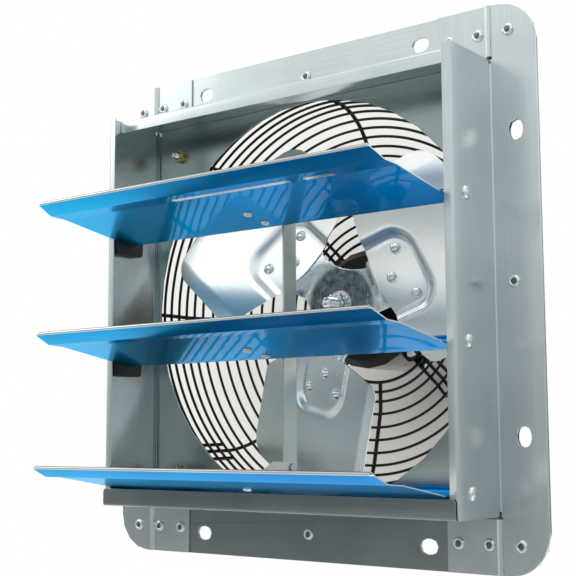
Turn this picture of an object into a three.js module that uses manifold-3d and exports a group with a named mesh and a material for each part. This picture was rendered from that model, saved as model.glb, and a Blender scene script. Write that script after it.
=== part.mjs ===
// Shutter exhaust fan: a folded sheet-metal wall frame with three linked louvers,
// a three-blade rotor, its motor, and the wire guard basket that carries the motor.
// Millimetres, +Z up. +Y runs from the louvers to the motor, along the fan's axis.
// The origin is the middle of the wall flange, in the plane of its front face.
import * as THREE from 'three';
import { mergeVertices } from 'three/addons/utils/BufferGeometryUtils.js';
import Module from 'manifold-3d';

const wasm = await Module();
wasm.setup();

// Frame: one square flange, with a shallow box standing out to the front
const FLANGE_SIDE = 400;
const FLANGE_CORNER_R = 30;
const SIDE_FLANGE = 35.7;
const CROSS_FLANGE = 39.6;
const SIDE_DEPTH = 56;
const TOP_SETBACK = 12;
const BOTTOM_OVERHANG = 2.5;
const SIDE_LIP = 6.7;
const TOP_LIP = 10.4;
const BOTTOM_LIP = 13.8;
const LIP_CORNER_R = 3;
const SHEET = 1;
const BEND_R = 1.5;
const ORIFICE_MARGIN = 1.4;
const EAR_LENGTH = 77.5;
const BEAD_R = 2.2;

// Clearances: the gap at a seat, the play of a shank in its hole, and the overrun of a cut
const FIT = 0.3;
const HOLE_PLAY = 0.3;
const OVERRUN = 5;

// Slots for the wall screws, and the blind rivets of the flange
const SLOT_LENGTH = 15;
const SLOT_WIDTH = 11;
const SLOT_FROM_END = 93.5;
const SLOT_EDGE = 16.5;
const RIVET_EDGE = 20.5;
const RIVET_PITCH = 24;
const RIVET_HEAD_R = 4.2;
const RIVET_HEAD_H = 1.5;
const RIVET_CROWN_R = 2.4;
const RIVET_SHANK_R = 2;
const RIVET_TAIL = 2;

// Louvers: a rolled barrel on the pivot line, a long plane, a flatter strip, a lip and a hem
const PIVOT_TOP_DROP = 102.2;
const PIVOT_BOTTOM_RISE = 16.8;
const LOUVER_PLAY = 1;
const LOUVER_SHEET = 0.8;
const BARREL_R = 4.5;
const PLANE_LENGTH = 73.2;
const STRIP_LENGTH = 14.5;
const LIP_LENGTH = 15.6;
const HEM_R = 0.9;
const HEM_RETURN = 5;
const LOUVER_FOLD_R = 2;
const LOUVER_CORNER_R = 9;
const PLANE_TILT = 9.5;
const STRIP_TILT = 3;
const LIP_TILT = 23.5;
const BARREL_WRAP = 318;

// Pivot pins and the plastic blocks that carry them on the side walls
const PIN_R = 3.6;
const PIN_HEAD_R = 4.8;
const PIN_REACH = 16;
const BLOCK_WIDTH = 31;
const BLOCK_HEIGHT = 26;
const BLOCK_THICK = 6;
const BLOCK_CORNER_R = 3;
const BLOCK_SETBACK = 2;

// Linkage: a flat tie bar behind the louvers, and one bracket on each louver
const LINK_BACK = 13.5;
const LINK_UP = 14.5;
const BAR_WIDTH = 15.4;
const BAR_THICK = 1.5;
const BAR_LEFT_X = 1;
const BAR_END = 5.5;
const BRACKET_SHEET = 1.2;
const FOOT_WIDTH = 14;
const FOOT_START = 7;
const FOOT_END = 36;
const BRACKET_RIVET_NEAR = 9;
const BRACKET_RIVET_PITCH = 21;
const BRACKET_RIVET_R = 1.6;
const BRACKET_RIVET_HEAD_R = 3.2;
const BRACKET_RIVET_HEAD_H = 1.2;
const EAR_EYE_R = 5;
const EAR_RISE = 4.5;
const LINK_PIN_R = 2;
const LINK_PIN_HEAD_R = 3.6;
const LINK_PIN_HEAD_H = 1.4;

// Rotor
const BLADE_TIP_GAP = 9;
const BLADE_HALF_CHORD = 72;
const BLADE_CORNER_R = 12;
const BLADE_ROOT_R = 42;
const BLADE_ROOT_SWEEP = 16;
const BLADE_SHEET = 1.2;
const BLADE_PITCH_RISE = 23.5;
const BLADE_CAMBER = 5;
const PAD_OVER_END = 3;
const PAD_OVER_SIDE = 2.5;
const PAD_BLEND = 7;
const PAD_DEPTH = 3.5;
const PAD_TILT = 18.8;
const PAD_RIVET_END = 9.8;
const PAD_RIVET_EDGE = 4.9;
const PAD_RIVET_PITCH = 13.8;
const PAD_RIVET_HEAD_R = 4.7;
const HUB_FRONT_Y = 46;
const HUB_THICK = 3;
const HUB_WAIST_R = 29.5;
const HUB_FOLD_R = 31;
const HUB_FOLD_WIDTH = 11;
const HUB_ARM_FORWARD = 5.1;
const HUB_NECK_HALF_WIDTH = 19;
const HUB_ARM_R = 80;
const HUB_ARM_HALF_WIDTH = 23;
const HUB_ARM_CORNER_R = 8;
const SHAFT_R = 6;
const THREAD_R = 5;
const SHAFT_TIP_Y = 25;
const COLLAR_R = 13;
const COLLAR_GAP = 3.7;
const HUB_WASHER_R = 11.5;
const HUB_WASHER_T = 1.6;
const HUB_NUT_R = 9.2;
const HUB_NUT_H = 7;

// Motor
const MOTOR_R = 50;
const MOTOR_FORWARD = 21;
const MOTOR_LENGTH = 77;
const MOTOR_WALL = 3;
const MOTOR_EDGE_R = 6;
const MOTOR_SPLIT = 34;
const MOTOR_BOSS_R = 17;
const MOTOR_BOSS_H = 5;
const BEARING_R = 13;
const BEARING_WIDTH = 9;
const STATOR_END_ROOM = 19.5;
const STATOR_THICK = 16.1;
const ROTOR_GAP = 0.7;
const WINDING_DEPTH = 8;
const LUG_REACH = 8;
const LUG_WIDTH = 17;
const LUG_THICK = 8;
const LUG_SCREW_R = 2.2;
const LUG_SCREW_OUT = 4.6;
const LUG_SCREW_HEAD_R = 4;
const LUG_SCREW_HEAD_H = 3.4;
const CLAMP_THICK = 1.8;

// Wire guard: rings along a basket profile, long spokes over them, short wires beside the slanted spokes
// that end at the motor, and a loop of wire round each guard bolt
const RING_WIRE_R = 1.1;
const INNER_WIRE_R = 1.4;
const SPOKE_WIRE_R = 1.65;
const ARM_WIRE_R = 1.5;
const LADDER_GAP = 14;
const LOOP_GAP = 16;
const GUARD_OVERLAP = 8;
const GUARD_SIDE_LEAN = 1.8;
const GUARD_SIDE_DROP = 52;
const GUARD_SHOULDER_IN = 7;
const GUARD_SHOULDER_DROP = 22;
const GUARD_CROWN_IN = 39;
const GUARD_CROWN_DROP = 10.5;
const GUARD_FLAT = 23;
const GUARD_BACK_Y = 100;
const GUARD_INNER_OUT = 3;
const GUARD_BOLT_OUT = 25;
const GUARD_BOLT_ANGLE = 44.47;
const GUARD_BOLT_R = 2.5;
const GUARD_BOLT_HEAD_R = 5.6;
const GUARD_BOLT_HEAD_H = 4;
const GUARD_BOLT_TIP = 5;
const GUARD_NUT_R = 5.8;
const GUARD_NUT_H = 5;
const GUARD_WASHER_R = 11;
const GUARD_WASHER_T = 1.5;
const ARM_BEND_R = 9;
const WELD = 0.8;

// Counts and angles
const LOUVER_NAMES = ['top', 'middle', 'bottom'];
const BLADE_ANGLES = [18, 138, 258];
const WIDE_RINGS = 13;
const RING_SHARES = [
  0, 0.06, 0.108, 0.163, 0.218, 0.274, 0.326, 0.382, 0.436, 0.487,
  0.538, 0.588, 0.65, 0.714, 0.777, 0.844, 0.906, 0.953, 1,
];
const LADDER_SHARE = 0.777;
const LOOP_SHARE = 0.24;

// Places that follow from the driving dimensions
const HALF = FLANGE_SIDE / 2;
const WALL_OUT_X = HALF - SIDE_FLANGE;
const WALL_IN_X = WALL_OUT_X - SHEET;
const BOX_TOP_Z = HALF - CROSS_FLANGE;
const ORIFICE_R = BOX_TOP_Z - ORIFICE_MARGIN;
const EAR_END_X = HALF - EAR_LENGTH;
const SLOT_ALONG = HALF - SLOT_FROM_END;
const CROSS_HALF_X = WALL_IN_X - FIT;
const CROSS_FRONT_Y = SHEET + FIT;
const PANEL_FRONT_Y = CROSS_FRONT_Y + SHEET + FIT;
const PANEL_BACK_Y = PANEL_FRONT_Y + SHEET;
const EAR_LOW_Z = BOX_TOP_Z + BEND_R + FIT;
const RIVET_Z = HALF - RIVET_EDGE;
const TOP_DEPTH = SIDE_DEPTH - TOP_SETBACK;
const BOTTOM_DEPTH = SIDE_DEPTH + BOTTOM_OVERHANG;
const PIVOT_Y = SHEET + BLOCK_SETBACK + BLOCK_WIDTH / 2 - SIDE_DEPTH;
const PIVOT_TOP_Z = BOX_TOP_Z - PIVOT_TOP_DROP;
const PIVOT_PITCH = (PIVOT_TOP_Z + BOX_TOP_Z - PIVOT_BOTTOM_RISE) / 2;
const BLOCK_IN_X = WALL_IN_X - FIT - BLOCK_THICK;
const LOUVER_LENGTH = 2 * (BLOCK_IN_X - LOUVER_PLAY);
const BARREL_OUT_R = BARREL_R + LOUVER_SHEET / 2;
const EAR_LEFT_X = BAR_LEFT_X + BAR_THICK + FIT;
const FOOT_LEFT_X = EAR_LEFT_X + BRACKET_SHEET - FOOT_WIDTH;
const ARM_FRONT_Y = HUB_FRONT_Y - HUB_ARM_FORWARD;
const PAD_Y = ARM_FRONT_Y - FIT - BLADE_SHEET / 2;
const BLADE_MID_Y = PAD_Y - PAD_DEPTH;
const PAD_FLAT_R = HUB_ARM_R + PAD_OVER_END;
const PAD_FLAT_HALF = HUB_ARM_HALF_WIDTH + PAD_OVER_SIDE;
const PAD_RIVET_R = HUB_ARM_R - PAD_RIVET_END;
const PAD_RIVET_SIDE = HUB_ARM_HALF_WIDTH - PAD_RIVET_EDGE;
const BLADE_TIP_R = ORIFICE_R - BLADE_TIP_GAP;
const MOTOR_FRONT_Y = GUARD_BACK_Y - MOTOR_FORWARD;
const STATOR_LENGTH = MOTOR_LENGTH - 2 * STATOR_END_ROOM;
const STATOR_R = MOTOR_R - MOTOR_WALL - 3 * FIT;
const STATOR_BORE_R = STATOR_R - STATOR_THICK;
const COLLAR_Y = HUB_FRONT_Y + HUB_THICK + FIT;
const COLLAR_LENGTH = MOTOR_FRONT_Y - MOTOR_BOSS_H - COLLAR_GAP - COLLAR_Y;
const LUG_REACH_R = MOTOR_R + LUG_REACH;
const LUG_SCREW_RADIUS = MOTOR_R + LUG_SCREW_OUT;
const GUARD_MOUTH_R = ORIFICE_R + GUARD_OVERLAP;
const GUARD_INNER_R = LUG_REACH_R + GUARD_INNER_OUT;
const GUARD_BOLT_X = (GUARD_MOUTH_R + GUARD_BOLT_OUT) * Math.cos(THREE.MathUtils.degToRad(GUARD_BOLT_ANGLE));
const GUARD_BOLT_Z = (GUARD_MOUTH_R + GUARD_BOLT_OUT) * Math.sin(THREE.MathUtils.degToRad(GUARD_BOLT_ANGLE));
const ARM_BACK_Y = GUARD_BACK_Y + RING_WIRE_R + ARM_WIRE_R - WELD;
const LUG_BACK_Y = ARM_BACK_Y - ARM_WIRE_R - FIT;
const GUARD_MOUTH_Y = PANEL_BACK_Y + FIT + RING_WIRE_R;
const ARM_FOOT_Y = PANEL_BACK_Y + 2 * FIT + ARM_WIRE_R;

const rad = THREE.MathUtils.degToRad;

// Closed bodies and booleans

// Merges shared corners, drops the flat triangles on a lathe's axis, and turns the faces outwards.
function closedMesh(geometry) {
  const bare = geometry.clone();
  bare.deleteAttribute('normal');
  bare.deleteAttribute('uv');
  const merged = mergeVertices(bare);
  const place = merged.attributes.position;
  const [a, b, c] = [new THREE.Vector3(), new THREE.Vector3(), new THREE.Vector3()];
  const corners = [];
  let volume = 0;
  for (let i = 0; i < merged.index.count; i += 3) {
    const [p, q, r] = [merged.index.getX(i), merged.index.getX(i + 1), merged.index.getX(i + 2)];
    if (p === q || q === r || r === p) continue;
    corners.push([p, q, r]);
    a.fromBufferAttribute(place, p);
    b.fromBufferAttribute(place, q);
    c.fromBufferAttribute(place, r);
    volume += a.dot(b.cross(c));
  }
  merged.setIndex(corners.flatMap(([p, q, r]) => (volume < 0 ? [p, r, q] : [p, q, r])));
  return merged;
}

function solidOf(geometry) {
  const mesh = closedMesh(geometry);
  return new wasm.Manifold(new wasm.Mesh({
    numProp: 3,
    vertProperties: mesh.attributes.position.array,
    triVerts: Uint32Array.from(mesh.index.array),
  }));
}

function geometryOf(solid) {
  const mesh = solid.getMesh();
  const geometry = new THREE.BufferGeometry();
  geometry.setAttribute('position', new THREE.BufferAttribute(mesh.vertProperties, 3));
  geometry.setIndex(new THREE.BufferAttribute(mesh.triVerts, 1));
  return geometry;
}

function join(...parts) {
  return geometryOf(parts.map(solidOf).reduce((sum, part) => sum.add(part)));
}

function cut(base, tools) {
  return geometryOf(tools.map(solidOf).reduce((rest, tool) => rest.subtract(tool), solidOf(base)));
}

// Ways to make sheet and bar stock

// A flat sheet drawn in X and Z, with its front face at the given Y.
function plate(shape, frontY, thickness, curveSegments = 2) {
  return new THREE.ExtrudeGeometry(shape, { depth: thickness, bevelEnabled: false, curveSegments })
    .rotateX(Math.PI / 2)
    .translate(0, frontY + thickness, 0);
}

// A profile drawn in X and Y, run along Z.
function alongZ(shape, lowZ, highZ, curveSegments = 2) {
  return new THREE.ExtrudeGeometry(shape, { depth: highZ - lowZ, bevelEnabled: false, curveSegments })
    .translate(0, 0, lowZ);
}

// A profile drawn in Y and Z, run along X.
function alongX(shape, lowX, highX, curveSegments = 2) {
  const turn = new THREE.Matrix4().makeBasis(
    new THREE.Vector3(0, 1, 0), new THREE.Vector3(0, 0, 1), new THREE.Vector3(1, 0, 0),
  );
  return new THREE.ExtrudeGeometry(shape, { depth: highX - lowX, bevelEnabled: false, curveSegments })
    .applyMatrix4(turn)
    .translate(lowX, 0, 0);
}

// The middle line of a folded sheet: corners joined by arcs of the bend radius.
function foldedLine(corners, bendR, steps = 2) {
  const line = [corners[0]];
  for (let i = 1; i < corners.length - 1; i += 1) {
    const toward = corners[i].clone().sub(corners[i - 1]).normalize();
    const away = corners[i + 1].clone().sub(corners[i]).normalize();
    const turn = Math.atan2(toward.cross(away), toward.dot(away));
    const reach = bendR * Math.tan(Math.abs(turn) / 2);
    const start = corners[i].clone().addScaledVector(toward, -reach);
    const centre = start.clone().add(
      new THREE.Vector2(-toward.y, toward.x).multiplyScalar(bendR * Math.sign(turn)),
    );
    for (let step = 0; step <= steps; step += 1) {
      line.push(start.clone().rotateAround(centre, (turn * step) / steps));
    }
  }
  line.push(corners[corners.length - 1]);
  return line;
}

// The closed outline of a sheet that follows a middle line.
function sheetShape(line, thickness) {
  const left = [];
  const right = [];
  line.forEach((point, i) => {
    const before = line[Math.max(i - 1, 0)];
    const after = line[Math.min(i + 1, line.length - 1)];
    const into = point.clone().sub(before).normalize();
    const out = after.clone().sub(point).normalize();
    const along = into.clone().add(out).normalize();
    const stretch = 1 / Math.max(along.dot(i ? into : out), 0.5);
    const side = new THREE.Vector2(-along.y, along.x).multiplyScalar((thickness * stretch) / 2);
    left.push(point.clone().add(side));
    right.unshift(point.clone().sub(side));
  });
  return new THREE.Shape([...left, ...right]);
}

const corner = (x, y) => new THREE.Vector2(x, y);

// A rectangle with rounded corners, centred on (x, y).
function roundedRectangle(width, height, r, x = 0, y = 0) {
  const [w, h] = [width / 2, height / 2];
  const shape = new THREE.Shape();
  shape.moveTo(x - w + r, y - h);
  shape.absarc(x + w - r, y - h + r, r, -Math.PI / 2, 0);
  shape.absarc(x + w - r, y + h - r, r, 0, Math.PI / 2);
  shape.absarc(x - w + r, y + h - r, r, Math.PI / 2, Math.PI);
  shape.absarc(x - w + r, y - h + r, r, Math.PI, 1.5 * Math.PI);
  shape.closePath();
  return shape;
}

// The waste outside a rounded corner. The corner is at (x, y); sx and sy point into the material.
function cornerWaste(x, y, r, sx, sy) {
  const outline = [corner(x - sx * OVERRUN, y - sy * OVERRUN), corner(x + sx * r, y - sy * OVERRUN)];
  const steps = 4;
  for (let step = 0; step <= steps; step += 1) {
    const angle = (Math.PI / 2) * (step / steps);
    outline.push(corner(x + sx * r * (1 - Math.sin(angle)), y + sy * r * (1 - Math.cos(angle))));
  }
  outline.push(corner(x - sx * OVERRUN, y + sy * r));
  return new THREE.Shape(outline);
}

// A round hole in a shape.
function roundHole(x, y, r, sides = 8) {
  const points = Array.from({ length: sides }, (unused, i) => {
    const angle = (-2 * Math.PI * i) / sides;
    return corner(x + r * Math.cos(angle), y + r * Math.sin(angle));
  });
  return new THREE.Path(points);
}

// A turned piece about the Y axis, from [radius, height] pairs.
function turned(profile, sides) {
  return new THREE.LatheGeometry(profile.map(([r, y]) => corner(r, y)), sides);
}

// A straight round tool about the Y axis, long enough to pass all the flange's sheets.
function drill(x, z, r, sides = 6) {
  const length = PANEL_BACK_Y + 2 * OVERRUN;
  return new THREE.CylinderGeometry(r, r, length, sides).translate(x, length / 2 - OVERRUN, z);
}

// The tool for one wall-screw slot; a turned slot runs up and down.
function slotTool(x, z, upright) {
  const size = upright ? [SLOT_WIDTH, SLOT_LENGTH] : [SLOT_LENGTH, SLOT_WIDTH];
  const shape = roundedRectangle(...size, SLOT_WIDTH / 2, x, z);
  return plate(shape, -OVERRUN, PANEL_BACK_Y + 2 * OVERRUN, 1);
}

// A wire bent through its points: one section at each point, turned to the bend there.
class BentWire extends THREE.CatmullRomCurve3 {
  getUtoTmapping(u) {
    return u;
  }
}

function wire(points, r, sides) {
  const section = new THREE.Shape(Array.from({ length: sides }, (unused, i) => {
    const angle = (2 * Math.PI * i) / sides;
    return corner(r * Math.cos(angle), r * Math.sin(angle));
  }));
  const extrudePath = new BentWire(points, false, 'centripetal');
  return new THREE.ExtrudeGeometry(section, { steps: points.length - 1, extrudePath, bevelEnabled: false });
}

// Colours and finishes

const ZINC = { color: 0xc6ced3, roughness: 0.42, metalness: 0.85 };
const PANEL_ZINC = { color: 0x8f9c9c, roughness: 0.5, metalness: 0.8 };
const BRIGHT = { color: 0xd9dcdf, roughness: 0.25, metalness: 1 };
const ALUMINIUM = { color: 0xd6d8db, roughness: 0.3, metalness: 0.95 };
const BLUE_FILM = { color: 0x0a6fc2, roughness: 0.12, metalness: 0.3 };
const SPANGLED = { color: 0x5f6468, roughness: 0.35, metalness: 0.9 };
const BRASS_ZINC = { color: 0x8a7a3e, roughness: 0.4, metalness: 0.8 };
const BLACK_PAINT = { color: 0x15171a, roughness: 0.45, metalness: 0.2 };
const BLACK_PLASTIC = { color: 0x1d1e20, roughness: 0.6, metalness: 0 };
const STEEL = { color: 0xa3a6a8, roughness: 0.35, metalness: 1 };
const COPPER = { color: 0xb3683a, roughness: 0.35, metalness: 0.9 };

const fan = new THREE.Group();

function piece(group, name, geometry, look) {
  const mesh = new THREE.Mesh(closedMesh(geometry), new THREE.MeshStandardMaterial(look));
  mesh.name = name;
  group.add(mesh);
  return mesh;
}

function subGroup(parent, x = 0, y = 0, z = 0) {
  const group = new THREE.Group();
  group.position.set(x, y, z);
  parent.add(group);
  return group;
}

// Flange hole pattern, shared by every sheet of the flange and by the rivets

const cornerRivetXs = [RIVET_Z, RIVET_Z - RIVET_PITCH, RIVET_Z - 2 * RIVET_PITCH];
const signs = [-1, 1];
const cornerRivets = signs.flatMap((sx) => signs.flatMap((sz) => (
  cornerRivetXs.map((x) => [sx * x, sz * RIVET_Z]))));
const middleRivets = [[-RIVET_Z, 0], [RIVET_Z, 0], [0, -RIVET_Z], [0, RIVET_Z]];
const guardBolts = signs.flatMap((sx) => signs.map((sz) => [sx * GUARD_BOLT_X, sz * GUARD_BOLT_Z]));
const slots = signs.flatMap((along) => signs.flatMap((edge) => [
  [along * SLOT_ALONG, edge * (HALF - SLOT_EDGE), false],
  [edge * (HALF - SLOT_EDGE), along * SLOT_ALONG, true],
]));
const pivotZs = LOUVER_NAMES.map((name, i) => PIVOT_TOP_Z - i * PIVOT_PITCH);

// The cuts for rivets and wall screws. A sheet leaves out the hole of the rivet that it carries itself.
function flangeTools(ownRivetZ) {
  const rivets = [...cornerRivets, ...middleRivets].filter(([x, z]) => x !== 0 || z !== ownRivetZ);
  return [
    ...rivets.map(([x, z]) => drill(x, z, RIVET_SHANK_R + HOLE_PLAY)),
    ...slots.map(([x, z, upright]) => slotTool(x, z, upright)),
  ];
}

// Frame

function orificePanel() {
  const outline = roundedRectangle(FLANGE_SIDE, FLANGE_SIDE, FLANGE_CORNER_R);
  const bolts = guardBolts.map(([x, z]) => drill(x, z, GUARD_BOLT_R + HOLE_PLAY, 8));
  const sheet = plate(outline, PANEL_FRONT_Y, SHEET);
  return cut(sheet, [drill(0, 0, ORIFICE_R, 36), ...flangeTools(), ...bolts]);
}

// The right-hand side channel: lip, side wall, and a full-height flange with an ear at each end.
function sideChannel() {
  const wallX = WALL_OUT_X - SHEET / 2;
  const lipY = SHEET / 2 - SIDE_DEPTH;
  const stubX = wallX + BEND_R + SHEET;
  const channel = alongZ(sheetShape(foldedLine([
    corner(WALL_OUT_X - SIDE_LIP, lipY),
    corner(wallX, lipY),
    corner(wallX, SHEET / 2),
    corner(stubX + OVERRUN, SHEET / 2),
  ], BEND_R), SHEET), -BOX_TOP_Z, BOX_TOP_Z);

  const r = FLANGE_CORNER_R;
  const outline = new THREE.Shape();
  outline.moveTo(stubX, -EAR_LOW_Z);
  outline.lineTo(EAR_END_X, -EAR_LOW_Z);
  outline.lineTo(EAR_END_X, -HALF);
  outline.absarc(HALF - r, -HALF + r, r, -Math.PI / 2, 0);
  outline.absarc(HALF - r, HALF - r, r, 0, Math.PI / 2);
  outline.lineTo(EAR_END_X, HALF);
  outline.lineTo(EAR_END_X, EAR_LOW_Z);
  outline.lineTo(stubX, EAR_LOW_Z);
  outline.closePath();
  const flange = plate(outline, 0, SHEET);

  // The wall's bend runs on over each ear as a half-round bead, open at its inner end.
  const bead = (radius, lowZ, highZ) => signs.map((sz) => {
    const round = new THREE.Shape();
    round.absarc(wallX, SHEET / 2, radius, Math.PI, 2 * Math.PI);
    round.closePath();
    return sz > 0 ? alongZ(round, lowZ, highZ) : alongZ(round, -highZ, -lowZ);
  });
  const outside = bead(BEAD_R + SHEET / 2, EAR_LOW_Z, HALF);
  const inside = bead(BEAD_R - SHEET / 2, EAR_LOW_Z - OVERRUN, HALF + OVERRUN);
  const rivets = [...cornerRivets, ...middleRivets].filter(([x]) => x > EAR_END_X)
    .map(([x, z]) => blindRivet().translate(x, 0, z));
  // The lip stops short of the bottom channel, whose wall runs on under it.
  const notch = new THREE.BoxGeometry(SIDE_LIP + OVERRUN, 2 * OVERRUN, 2 * OVERRUN).translate(
    WALL_IN_X - (SIDE_LIP + OVERRUN) / 2,
    -SIDE_DEPTH,
    SHEET + FIT - BOX_TOP_Z - OVERRUN,
  );
  const pivotHoles = pivotZs.map((z) => (
    new THREE.CylinderGeometry(PIN_R + HOLE_PLAY, PIN_R + HOLE_PLAY, 2 * OVERRUN, 8)
      .rotateZ(Math.PI / 2).translate(wallX, PIVOT_Y, z)));
  const slotCuts = slots.map(([x, z, upright]) => slotTool(x, z, upright));
  return join(cut(join(channel, flange, ...outside), [...inside, ...slotCuts, ...pivotHoles, notch]), ...rivets);
}

// The top or bottom channel: lip, wall and flange, run between the side walls.
function crossChannel(depth, lip, sz) {
  const wallZ = BOX_TOP_Z - SHEET / 2;
  const profile = foldedLine([
    corner(SHEET / 2 - depth, BOX_TOP_Z - lip),
    corner(SHEET / 2 - depth, wallZ),
    corner(CROSS_FRONT_Y + SHEET / 2, wallZ),
    corner(CROSS_FRONT_Y + SHEET / 2, HALF),
  ].map((point) => corner(point.x, point.y * sz)), BEND_R);
  const channel = alongX(sheetShape(profile, SHEET), -CROSS_HALF_X, CROSS_HALF_X);
  const lipCorners = signs.map((sx) => plate(
    cornerWaste(sx * CROSS_HALF_X, sz * (BOX_TOP_Z - lip), LIP_CORNER_R, -sx, sz),
    -depth - OVERRUN,
    2 * OVERRUN,
  ));
  const rivet = blindRivet().translate(0, CROSS_FRONT_Y, sz * RIVET_Z);
  return join(cut(channel, [...lipCorners, ...flangeTools(sz * RIVET_Z)]), rivet);
}

// A blind rivet on the Y axis, set in the front sheet: ring head, shank, and its tail behind the panel.
function blindRivet() {
  const tail = PANEL_BACK_Y + RIVET_TAIL;
  return turned([
    [0, -RIVET_HEAD_H],
    [RIVET_CROWN_R, -RIVET_HEAD_H],
    [RIVET_HEAD_R, SHEET / 4],
    [RIVET_SHANK_R, SHEET / 4],
    [RIVET_SHANK_R, tail],
    [0, tail],
  ], 6);
}

const frame = subGroup(fan);
piece(frame, 'orifice_panel', orificePanel(), PANEL_ZINC);
const rightChannel = sideChannel();
piece(frame, 'side_channel_right', rightChannel, ZINC);
piece(frame, 'side_channel_left', rightChannel.clone().scale(-1, 1, 1), ZINC);
piece(frame, 'top_channel', crossChannel(TOP_DEPTH, TOP_LIP, 1), ZINC);
piece(frame, 'bottom_channel', crossChannel(BOTTOM_DEPTH, BOTTOM_LIP, -1), ZINC);

// Pivot blocks and pins

function pivotBlock() {
  const outline = roundedRectangle(BLOCK_WIDTH, BLOCK_HEIGHT, BLOCK_CORNER_R);
  outline.holes.push(roundHole(0, 0, PIN_R + HOLE_PLAY));
  return alongX(outline, BLOCK_IN_X, WALL_IN_X - FIT, 1);
}

// A pin through the right side wall: domed head outside, and its journal in the louver's barrel.
function pivotPin() {
  const inner = LOUVER_LENGTH / 2 - PIN_REACH;
  return turned([
    [0, WALL_OUT_X + FIT + RIVET_HEAD_H],
    [RIVET_CROWN_R, WALL_OUT_X + FIT + RIVET_HEAD_H],
    [PIN_HEAD_R, WALL_OUT_X + FIT],
    [PIN_R, WALL_OUT_X + FIT],
    [PIN_R, inner],
    [0, inner],
  ], 8).rotateZ(-Math.PI / 2);
}

signs.forEach((sx) => {
  const side = sx > 0 ? 'right' : 'left';
  pivotZs.forEach((z, i) => {
    const block = pivotBlock().scale(sx, 1, 1);
    piece(frame, `pivot_block_${side}_${LOUVER_NAMES[i]}`, block, BLACK_PLASTIC)
      .position.set(0, PIVOT_Y, z);
    piece(frame, `pivot_pin_${side}_${LOUVER_NAMES[i]}`, pivotPin().scale(sx, 1, 1), BRIGHT)
      .position.set(0, PIVOT_Y, z);
  });
});

// Louvers, drawn about their own pivot line, with -Y to the front

const planeDown = corner(-Math.cos(rad(PLANE_TILT)), Math.sin(rad(PLANE_TILT)));
const planeUp = corner(Math.sin(rad(PLANE_TILT)), Math.cos(rad(PLANE_TILT)));
const planeStart = planeUp.clone().multiplyScalar(-BARREL_R);

// A point s along the long plane from the barrel, and n above the plane's middle line.
function onPlane(s, n) {
  return planeStart.clone().addScaledVector(planeDown, s).addScaledVector(planeUp, n);
}

function louverLine() {
  const barrelSteps = 9;
  const barrel = [];
  for (let step = 0; step < barrelSteps; step += 1) {
    const angle = rad(BARREL_WRAP) * (1 - step / barrelSteps);
    barrel.push(planeStart.clone().rotateAround(corner(0, 0), angle));
  }
  const direction = (tilt) => corner(-Math.cos(rad(tilt)), Math.sin(rad(tilt)));
  const fold = onPlane(PLANE_LENGTH, 0);
  const lipStart = fold.clone().addScaledVector(direction(STRIP_TILT), STRIP_LENGTH);
  const lipEnd = lipStart.clone().addScaledVector(direction(LIP_TILT), LIP_LENGTH);
  const folded = foldedLine([planeStart, fold, lipStart, lipEnd], LOUVER_FOLD_R, 2);
  const lipNormal = corner(Math.sin(rad(LIP_TILT)), Math.cos(rad(LIP_TILT)));
  const hemCentre = lipEnd.clone().addScaledVector(lipNormal, HEM_R);
  const hem = [1, 2, 3, 4].map((step) => lipEnd.clone().rotateAround(hemCentre, -Math.PI * (step / 4)));
  const hemEnd = hem[3].clone().addScaledVector(direction(LIP_TILT), -HEM_RETURN);
  return [...barrel, ...folded, ...hem, hemEnd];
}

const FOOT_MID_X = FOOT_LEFT_X + FOOT_WIDTH / 2;
const bracketRivetS = [BRACKET_RIVET_NEAR, BRACKET_RIVET_NEAR + BRACKET_RIVET_PITCH];

// A short round tool or pin standing square on the long plane, from n0 to n1 above it.
function standing(s, x, profile, sides) {
  const at = onPlane(s, 0);
  return turned(profile, sides).rotateX(Math.PI / 2).rotateX(-rad(PLANE_TILT)).translate(x, at.x, at.y);
}

function bracketHole(s) {
  const r = BRACKET_RIVET_R + HOLE_PLAY;
  return standing(s, FOOT_MID_X, [[0, -OVERRUN], [r, -OVERRUN], [r, OVERRUN], [0, OVERRUN]], 6);
}

function louver() {
  const blank = alongX(sheetShape(louverLine(), LOUVER_SHEET), -LOUVER_LENGTH / 2, LOUVER_LENGTH / 2);
  const front = onPlane(PLANE_LENGTH + STRIP_LENGTH + LIP_LENGTH, 0).x;
  const height = 2 * BARREL_OUT_R + 2 * LIP_LENGTH;
  const corners = signs.map((sx) => alongZ(
    cornerWaste((sx * LOUVER_LENGTH) / 2, front, LOUVER_CORNER_R, -sx, 1),
    -height,
    height,
  ));
  return cut(blank, [...corners, ...bracketRivetS.map(bracketHole)]);
}

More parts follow.
